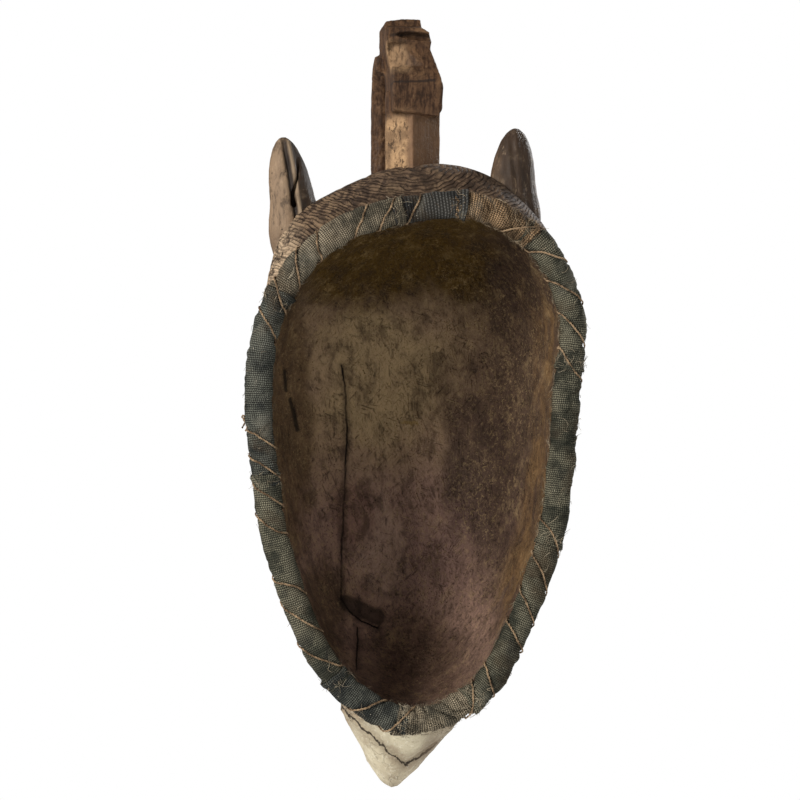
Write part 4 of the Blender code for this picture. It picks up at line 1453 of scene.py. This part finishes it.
@dataclass(frozen=True)
class CrestWood:
    """Brown, rubbed wood, wormed on its +X side, with painted light making that side paler."""

    dark: Colour = (0.032, 0.016, 0.009)
    brown: Colour = (0.095, 0.05, 0.026)
    # Painted light: the tone of the post's and head's lit +X side.
    pale: Colour = (0.42, 0.265, 0.14)

    def material(self) -> bpy.types.Material:
        """The finished material."""
        paint = Paint("carved_wood_crest", 0.52, 0.12)
        x, y, z = paint.axes(paint.place())
        fibres = paint.grain(520, 4, 0.62, stretch=(1, 1, 0.05))
        mottle = paint.grain(95, 5, 0.62)
        paint.colour = paint.blend(fibres.ramp(0.36, 0.64), self.dark, self.brown)
        paint.coat(mottle.ramp(0.5, 0.66) * 0.6, (0.165, 0.092, 0.046))
        smoky = paint.grain(230, 6, 0.7, bend=0.8)
        paint.coat(smoky.ramp(0.5, 0.36) * 0.55, (0.02, 0.012, 0.008))
        paint.coat(smoky.ramp(0.56, 0.68) * 0.35, (0.21, 0.125, 0.066))
        edge = (paint.grain(70, 3, 0.6) - 0.5) * 0.006
        behind = y.ramp(-0.08, -0.07)
        ground = (z + edge * 1.5).ramp(0.195, 0.185) * behind
        post = (x + edge).ramp(-0.0045, 0.001) * ground
        level = z + edge * 1.2
        head = (x + edge).ramp(-0.004, 0.002) * level.ramp(0.211, 0.217)
        head = head * level.ramp(0.232, 0.227)
        faced = y.ramp(-0.052, -0.044)
        # Painted light on the +X side of the post and head, which also holds the worm pits.
        lit_and_pitted = post * 0.95 + head * 0.5 * faced
        paint.coat(ground * 0.6, (0.21, 0.12, 0.066))
        pale = paint.blend(mottle.ramp(0.38, 0.6) * 0.75, self.pale, (0.12, 0.072, 0.04))
        pale = paint.blend(fibres.ramp(0.5, 0.34) * 0.5, pale, (0.12, 0.07, 0.038))
        pale = paint.blend(smoky.ramp(0.5, 0.34) * 0.6, pale, (0.095, 0.058, 0.034))
        paint.coat(lit_and_pitted, pale)
        worms = paint.grain(560, 3, 0.6, stretch=(1, 1, 0.5)).ramp(0.44, 0.36)
        paint.coat(worms * lit_and_pitted * 0.75, (0.05, 0.032, 0.022))
        # Painted shadow under the knob's brim.
        brim_shadow = paint.line(((0.008, 0.2338), (-0.003, 0.2355), (-0.0165, 0.2338)))
        paint.coat(brim_shadow.ramp(0.0014, 0.0004) * faced * 0.75, (0.022, 0.014, 0.01))
        # Painted shade in the crease.
        crease_shade = paint.line(((0.012, 0.2075), (-0.015, 0.209)), paint.wandering(150, 0.0012))
        paint.coat(crease_shade.ramp(0.0009, 0.0003) * faced * 0.8, (0.02, 0.013, 0.01))
        relief = fibres * 0.5 + smoky * 0.9 - worms * lit_and_pitted * 0.8
        return paint.finish(relief, 0.0006, 0.6 - fibres * 0.16 + lit_and_pitted * 0.15)


@dataclass(frozen=True)
class HornWood:
    """A horn's wood, with painted light on one side of a groove and painted shade on the other."""

    name: str
    foot: tuple[float, float]
    lean: float
    half_width: float
    # Painted light and painted shade: the tones of the horn's lit and shaded sides, split at split.
    light: Colour
    dark: Colour
    split: float
    groove: float

    def material(self) -> bpy.types.Material:
        """The finished material."""
        paint = Paint(self.name, 0.55, 0.2)
        x, y, z = paint.axes(paint.place())
        across = (x - self.foot[0] - (z - self.foot[1]) * self.lean) / self.half_width
        wander = (paint.grain(70, 3, 0.6) - 0.5) * 0.5
        side = (across + wander).ramp(self.split - 0.12, self.split + 0.12)
        fibres = paint.grain(480, 4, 0.62, stretch=(1, 1, 0.05))
        mottle = paint.grain(85, 5, 0.65)
        # Painted light and shade: lit on one side of the split, shaded on the other.
        paint.colour = paint.blend(side, self.dark, self.light)
        paint.coat(fibres.ramp(0.46, 0.32) * 0.6, (0.05, 0.034, 0.022))
        paint.coat(mottle.ramp(0.54, 0.74) * 0.4, (0.25, 0.18, 0.115))
        paint.coat(mottle.ramp(0.48, 0.32) * 0.6, (0.026, 0.017, 0.011))
        smoky = paint.grain(260, 6, 0.72, bend=0.8, stretch=(1, 1, 0.4))
        paint.coat(smoky.ramp(0.5, 0.36) * 0.6, (0.03, 0.019, 0.012))
        paint.coat(smoky.ramp(0.55, 0.68) * 0.45, (0.34, 0.24, 0.15))
        bends = (paint.grain(45, 3, 0.55) - 0.5) * 0.14
        # Painted shade in the groove and a painted highlight on the ridge beside it.
        cut = abs(across + bends - self.groove).ramp(0.12, 0.05) * y.ramp(-0.056, -0.048)
        ridge_highlight = abs(across + bends - self.groove + 0.2).ramp(0.12, 0.03) * y.ramp(-0.056, -0.048)
        paint.coat(ridge_highlight * 0.65, (0.33, 0.24, 0.155))
        paint.coat(cut * 0.92, (0.012, 0.008, 0.006))
        # Painted shade at the horn's foot, where it meets the crown.
        foot = z.ramp(self.foot[1] + 0.016, self.foot[1] + 0.001)
        paint.coat(foot * 0.45, (0.085, 0.055, 0.036))
        pits = paint.cells(380).ramp(0.2, 0.1) * paint.grain(90, 2, 0.5).ramp(0.5, 0.62)
        paint.coat(pits * 0.8, (0.02, 0.014, 0.01))
        return paint.finish(fibres * 0.5 + smoky * 1.2 - pits * 0.6, 0.0007,
                            0.62 - fibres * 0.15)


@dataclass(frozen=True)
class PegWood:
    """Plain split hardwood, for the pegs in their sockets."""

    def material(self) -> bpy.types.Material:
        """The finished material."""
        paint = Paint("peg_wood_split", 0.6)
        fibres = paint.grain(600, 4, 0.6, stretch=(1, 1, 0.06))
        dark, light = (0.12, 0.078, 0.045), (0.27, 0.18, 0.105)
        paint.colour = paint.blend(fibres.ramp(0.35, 0.65), dark, light)
        return paint.finish(fibres, 0.0003, 0.62 - fibres * 0.1)


@dataclass(frozen=True)
class Cloth:
    """Coarse plain-weave cotton, old, dusty and rubbed, with painted shade between the yarns and
    painted highlights on their crowns.
    """

    weave: Weave
    dark: Colour
    light: Colour
    yarn: float = 0.00115
    # How strongly the yarn crowns are painted pale: rubbed wear and a painted highlight.
    wear: float = 0.62
    width: float = 0.0392
    stain: Colour = (0.05, 0.034, 0.02)

    def yarns(self, paint: Paint) -> tuple[Wire, Wire]:
        """The weave's height, 0 in the gaps and 1 on the crowns, and each yarn's tone."""
        uv = paint.node("UVMap", {"uv_map": "cloth"})
        u, v, _ = paint.axes(paint.vector("ADD", uv, paint.drift(paint.grain(160, 2, 0.5), 0.0012)))
        ribbed = self.weave is Weave.INDIGO_RIBBED
        u = u / (self.yarn * (1.45 if ribbed else 1.0))
        v = v / (self.yarn * (0.75 if ribbed else 1.0))
        over = 0.5 + ((v + u.floor()) * math.pi).sine() * 0.5
        under = 0.5 - ((u + v.floor()) * math.pi).sine() * 0.5
        warp = abs((u * math.pi).sine()) * (0.35 + over * 0.65)
        weft = abs((v * math.pi).sine()) * ((0.25 if ribbed else 0.35) + under * 0.65)
        height = warp.highest(weft * (0.7 if ribbed else 1.0))
        tone = paint.node("TexWhiteNoise", {"noise_dimensions": "2D"}, {
            "Vector": paint.node("CombineXYZ", None, {0: u.floor(), 1: 0.0, 2: 0.0})})
        return height, tone

    def material(self) -> bpy.types.Material:
        """The finished material."""
        paint = Paint("cloth_" + self.weave.value, 0.88, 0.06)
        height, tone = self.yarns(paint)
        dust = paint.grain(55, 6, 0.66)
        dirt = paint.grain(28, 5, 0.6, bend=0.3)
        paint.colour = paint.blend(dust.ramp(0.4, 0.62), self.dark, self.light)
        paint.coat(tone * 0.3, self.light)
        # Painted shade in the gaps between the yarns.
        deep = paint.blend(0.8, paint.colour, (0.01, 0.008, 0.006))
        paint.colour = paint.blend(height.ramp(0.22, 0.62), deep, paint.colour)
        # Yarn crowns painted pale: rubbed wear and a painted highlight.
        crown = height.ramp(0.7, 0.92) * dust.ramp(0.34, 0.58)
        paint.coat(crown * self.wear, tuple(min(c * 4.6, 0.8) for c in self.light))
        paint.coat(dirt.ramp(0.5, 0.66) * 0.66, self.stain)
        shade = paint.grain(42, 4, 0.6, stretch=(1, 1, 0.6), bend=0.3)
        paint.coat(shade.ramp(0.46, 0.3) * 0.55, (0.016, 0.016, 0.015))
        paint.coat(shade.ramp(0.56, 0.7) * 0.22, (0.3, 0.28, 0.22))
        _, across, _ = paint.axes(paint.node("UVMap", {"uv_map": "cloth"}))
        frayed = (across + (dust - 0.5) * 0.012).ramp(self.width - 0.0075, self.width - 0.003)
        frayed = frayed.highest((across + (dust - 0.5) * 0.012).ramp(0.005, 0.002))
        paint.coat(frayed * 0.7, (0.06, 0.038, 0.02))
        specks = paint.cells(330).ramp(0.1, 0.05) * paint.grain(60, 2, 0.5).ramp(0.52, 0.6)
        paint.coat(specks * 0.8, (0.48, 0.43, 0.34))
        fuzz = paint.grain(1500, 2, 0.6)
        return paint.finish(height + fuzz * 0.3, 0.00062, 0.92 - height * 0.08)


@dataclass(frozen=True)
class Yarn:
    """Twisted bast or cotton yarn, by name and colours."""

    name: str
    dark: Colour
    light: Colour

    def material(self) -> bpy.types.Material:
        """The finished material."""
        paint = Paint(self.name, 0.85, 0.15)
        tone = paint.grain(210, 4, 0.6)
        fibres = paint.grain(2600, 2, 0.6)
        paint.colour = paint.blend(tone.ramp(0.36, 0.64), self.dark, self.light)
        paint.coat(fibres.ramp(0.5, 0.34) * 0.5, self.dark)
        return paint.finish(fibres, 0.00012, 0.9 - tone * 0.1)


# ---------------------------------------------------------------- the mask, put together


@dataclass
class Mask:
    """The whole mask: carved wood, crest, horns, bound rim and its thread."""

    rim: RimLine = field(default_factory=RimLine)

    def wood(self) -> None:
        """Builds and dresses the carved body, the crest, the horns and the pegs."""
        body = CarvedBody(self.rim)
        piece("carved_body", body.build(), BodyWood(body).material(), "carved_wood", ["mask_shell"])
        crest = Crest()
        piece(crest.name, crest.build(), CrestWood().material(), crest.slot, [crest.node])
        for horn, finish in self.horns():
            piece(horn.name, horn.build(), finish.material(), horn.slot, [horn.node])
        pegs = PegWood().material()
        for name in ("peg_left", "peg_right", "peg_crest"):
            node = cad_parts[name]
            node.data.materials.clear()
            node.data.materials.append(pegs)
            LOG.info("%s: dressed", name)

    def horns(self) -> list[tuple[Horn, HornWood]]:
        """The two horns with their finishes."""
        left_foot = self.rim.flat(0.082, 0.0055)
        right_foot = self.rim.flat(-0.087, 0.001)
        left = Horn(
            "horn_left_carving", "horn_left", foot=tuple(left_foot), lean=0.15,
            half_width=0.0138, ridges=((0.03, 0.09, -0.0018), (-0.17, 0.11, 0.0012)),
        )
        right = Horn(
            "horn_right_carving", "horn_right", foot=tuple(right_foot), lean=0.06,
            half_width=0.0145, ridges=((-0.1, 0.1, 0.0009), (-0.42, 0.13, 0.001),
                                       (0.3, 0.1, -0.0007)),
        )
        return [
            # Each finish gets a painted light tone and a painted shade tone, where they split, and
            # the groove.
            (left, HornWood("horn_wood_left", left.foot, left.lean, left.half_width,
                            (0.215, 0.145, 0.09), (0.042, 0.026, 0.016), 0.0, 0.03)),
            (right, HornWood("horn_wood_right", right.foot, right.lean, right.half_width,
                             (0.085, 0.052, 0.03), (0.046, 0.028, 0.017), 0.25, 0.92)),
        ]

    def cloths(self) -> dict[Weave, bpy.types.Material]:
        """The cloths' materials."""
        finishes = (
            Cloth(Weave.INDIGO_RIBBED, (0.02, 0.022, 0.023), (0.06, 0.058, 0.052), wear=0.35),
            Cloth(Weave.INDIGO, (0.018, 0.021, 0.02), (0.055, 0.056, 0.046)),
            Cloth(Weave.GREY_GREEN, (0.026, 0.028, 0.021), (0.08, 0.074, 0.052)),
            Cloth(Weave.FADED, (0.05, 0.046, 0.034), (0.135, 0.112, 0.078)),
            Cloth(Weave.TAN, (0.06, 0.038, 0.021), (0.165, 0.108, 0.06), yarn=0.0013, wear=0.45),
        )
        return {finish.weave: finish.material() for finish in finishes}

    def binding(self) -> None:
        """Builds the fibre roll, the cloth strips, the threads, the knots and the frays."""
        work = Binding(self.rim)
        looks = self.cloths()
        fibre = Yarn("rolled_fibre_brown", (0.055, 0.04, 0.024), (0.15, 0.11, 0.066)).material()
        roll = piece("rim_fibre_roll", work.padding(), fibre, "rolled_fibre", ["rim_padding"])
        picks = np.random.RandomState(FRAY_SEED)
        loose_yarn = {
            weave: Yarn("frayed_" + weave.value, dark, light).material()
            for weave, dark, light in (
                (Weave.INDIGO_RIBBED, (0.05, 0.036, 0.024), (0.17, 0.13, 0.09)),
                (Weave.INDIGO, (0.07, 0.055, 0.038), (0.25, 0.21, 0.15)),
                (Weave.GREY_GREEN, (0.11, 0.09, 0.06), (0.36, 0.3, 0.21)),
                (Weave.FADED, (0.13, 0.105, 0.072), (0.42, 0.36, 0.26)),
                (Weave.TAN, (0.12, 0.085, 0.05), (0.4, 0.31, 0.2)),
            )
        }
        for strip in work.strips:
            cloth = piece(strip.name + "_sheet", work.cloth(strip), looks[strip.weave],
                          strip.slot, [strip.name])
            yarns = tubes("frays", work.fibres(strip, picks), work.fibre_radius, 0, 0.6)
            frays = piece(strip.name + "_frays", yarns, loose_yarn[strip.weave], strip.slot)
            length = (strip.end - strip.start) * self.rim.length + 2 * work.overlap
        twine = Yarn("bast_twine_brown", (0.08, 0.05, 0.028), (0.34, 0.235, 0.14)).material()
        for k, (name, holes) in enumerate(work.threads.items()):
            line = work.route(holes, 3.0 + 5.1 * k)
            piece(name + "_twine", work.twine(name, line, work.thread_radius), twine,
                  "bast_twine", [name])
        for knot in (Knot("knot_left_twine", "knot_left", 0.0022),
                     Knot("knot_bottom_twine", "knot_bottom", 0.002)):
            piece(knot.name, work.twine(knot.name, knot.line(), knot.twine_radius), twine,
                  "bast_twine", [knot.node])


@dataclass
class Studio:
    """The pale floor, soft light and camera round the mask."""

    eye: Sequence[float] = (0.14187, 1.09084, 0.0357)
    aim: Sequence[float] = (0.0078163, -0.00095972, 0.0357)
    lens: float = 94.2857
    floor_z: float = -0.285
    surround: float = 0.26

    def lamp(self, name: str, place: Sequence[float], size: float, power: float,
             colour: Colour = (1, 1, 1)) -> None:
        """An area light that faces the mask."""
        light = bpy.data.lights.new(name, "AREA")
        light.size = size
        light.energy = power
        light.color = colour
        lamp = bpy.data.objects.new(name, light)
        lamp.location = place
        way = Vector((0, -0.03, 0.02)) - Vector(place)
        lamp.rotation_euler = way.to_track_quat("-Z", "Y").to_euler()
        bpy.context.scene.collection.objects.link(lamp)

    def world(self) -> None:
        """A plain white surround that lights the mask more weakly than it shows."""
        world = bpy.data.worlds.new("studio_world")
        bpy.context.scene.world = world
        world.use_nodes = True
        tree = world.node_tree
        tree.nodes.clear()
        weak = tree.nodes.new("ShaderNodeBackground")
        weak.inputs["Strength"].default_value = self.surround
        plain = tree.nodes.new("ShaderNodeBackground")
        seen = tree.nodes.new("ShaderNodeLightPath")
        mix = tree.nodes.new("ShaderNodeMixShader")
        out = tree.nodes.new("ShaderNodeOutputWorld")
        for background in (weak, plain):
            background.inputs["Color"].default_value = (1, 1, 1, 1)
        tree.links.new(seen.outputs["Is Camera Ray"], mix.inputs[0])
        tree.links.new(weak.outputs[0], mix.inputs[1])
        tree.links.new(plain.outputs[0], mix.inputs[2])
        tree.links.new(mix.outputs[0], out.inputs[0])

    def build(self) -> None:
        """Sets everything up."""
        scene = bpy.context.scene
        scene.view_settings.view_transform = "Standard"
        bm = bmesh.new()
        bmesh.ops.create_grid(bm, x_segments=1, y_segments=1, size=1.0)
        bmesh.ops.scale(bm, vec=(1.6, 0.95, 1), verts=bm.verts)
        bmesh.ops.translate(bm, vec=(0, 0.45, self.floor_z), verts=bm.verts)
        floor = loose("studio_floor", bm)
        paint = Paint("studio_floor", 0.9, 0.1)
        tone = paint.grain(3.0, 3)
        paint.colour = paint.blend(tone, (0.86,) * 3, (0.9,) * 3)
        floor.data.materials.append(paint.finish())
        self.world()
        self.lamp("key", (1.45, 0.95, 0.8), 0.7, 44.0, (1.0, 0.975, 0.94))
        self.lamp("fill", (-1.3, 1.2, 0.3), 1.2, 5.0)
        self.lamp("front", (-1.35, -1.05, 0.95), 0.6, 40.0)
        camera = bpy.data.cameras.new("camera")
        camera.sensor_width = 36.0
        camera.lens = self.lens
        camera.clip_start = 0.01
        eye = bpy.data.objects.new("camera", camera)
        eye.location = self.eye
        way = Vector(self.aim) - Vector(self.eye)
        eye.rotation_euler = way.to_track_quat("-Z", "Y").to_euler()
        scene.collection.objects.link(eye)
        scene.camera = eye


def main() -> None:
    """Builds the mask and its studio."""
    logging.basicConfig(level=logging.INFO, format="%(name)s %(message)s")
    mask = Mask()
    mask.wood()
    mask.binding()
    Studio().build()


if __name__ == "__main__":
    main()
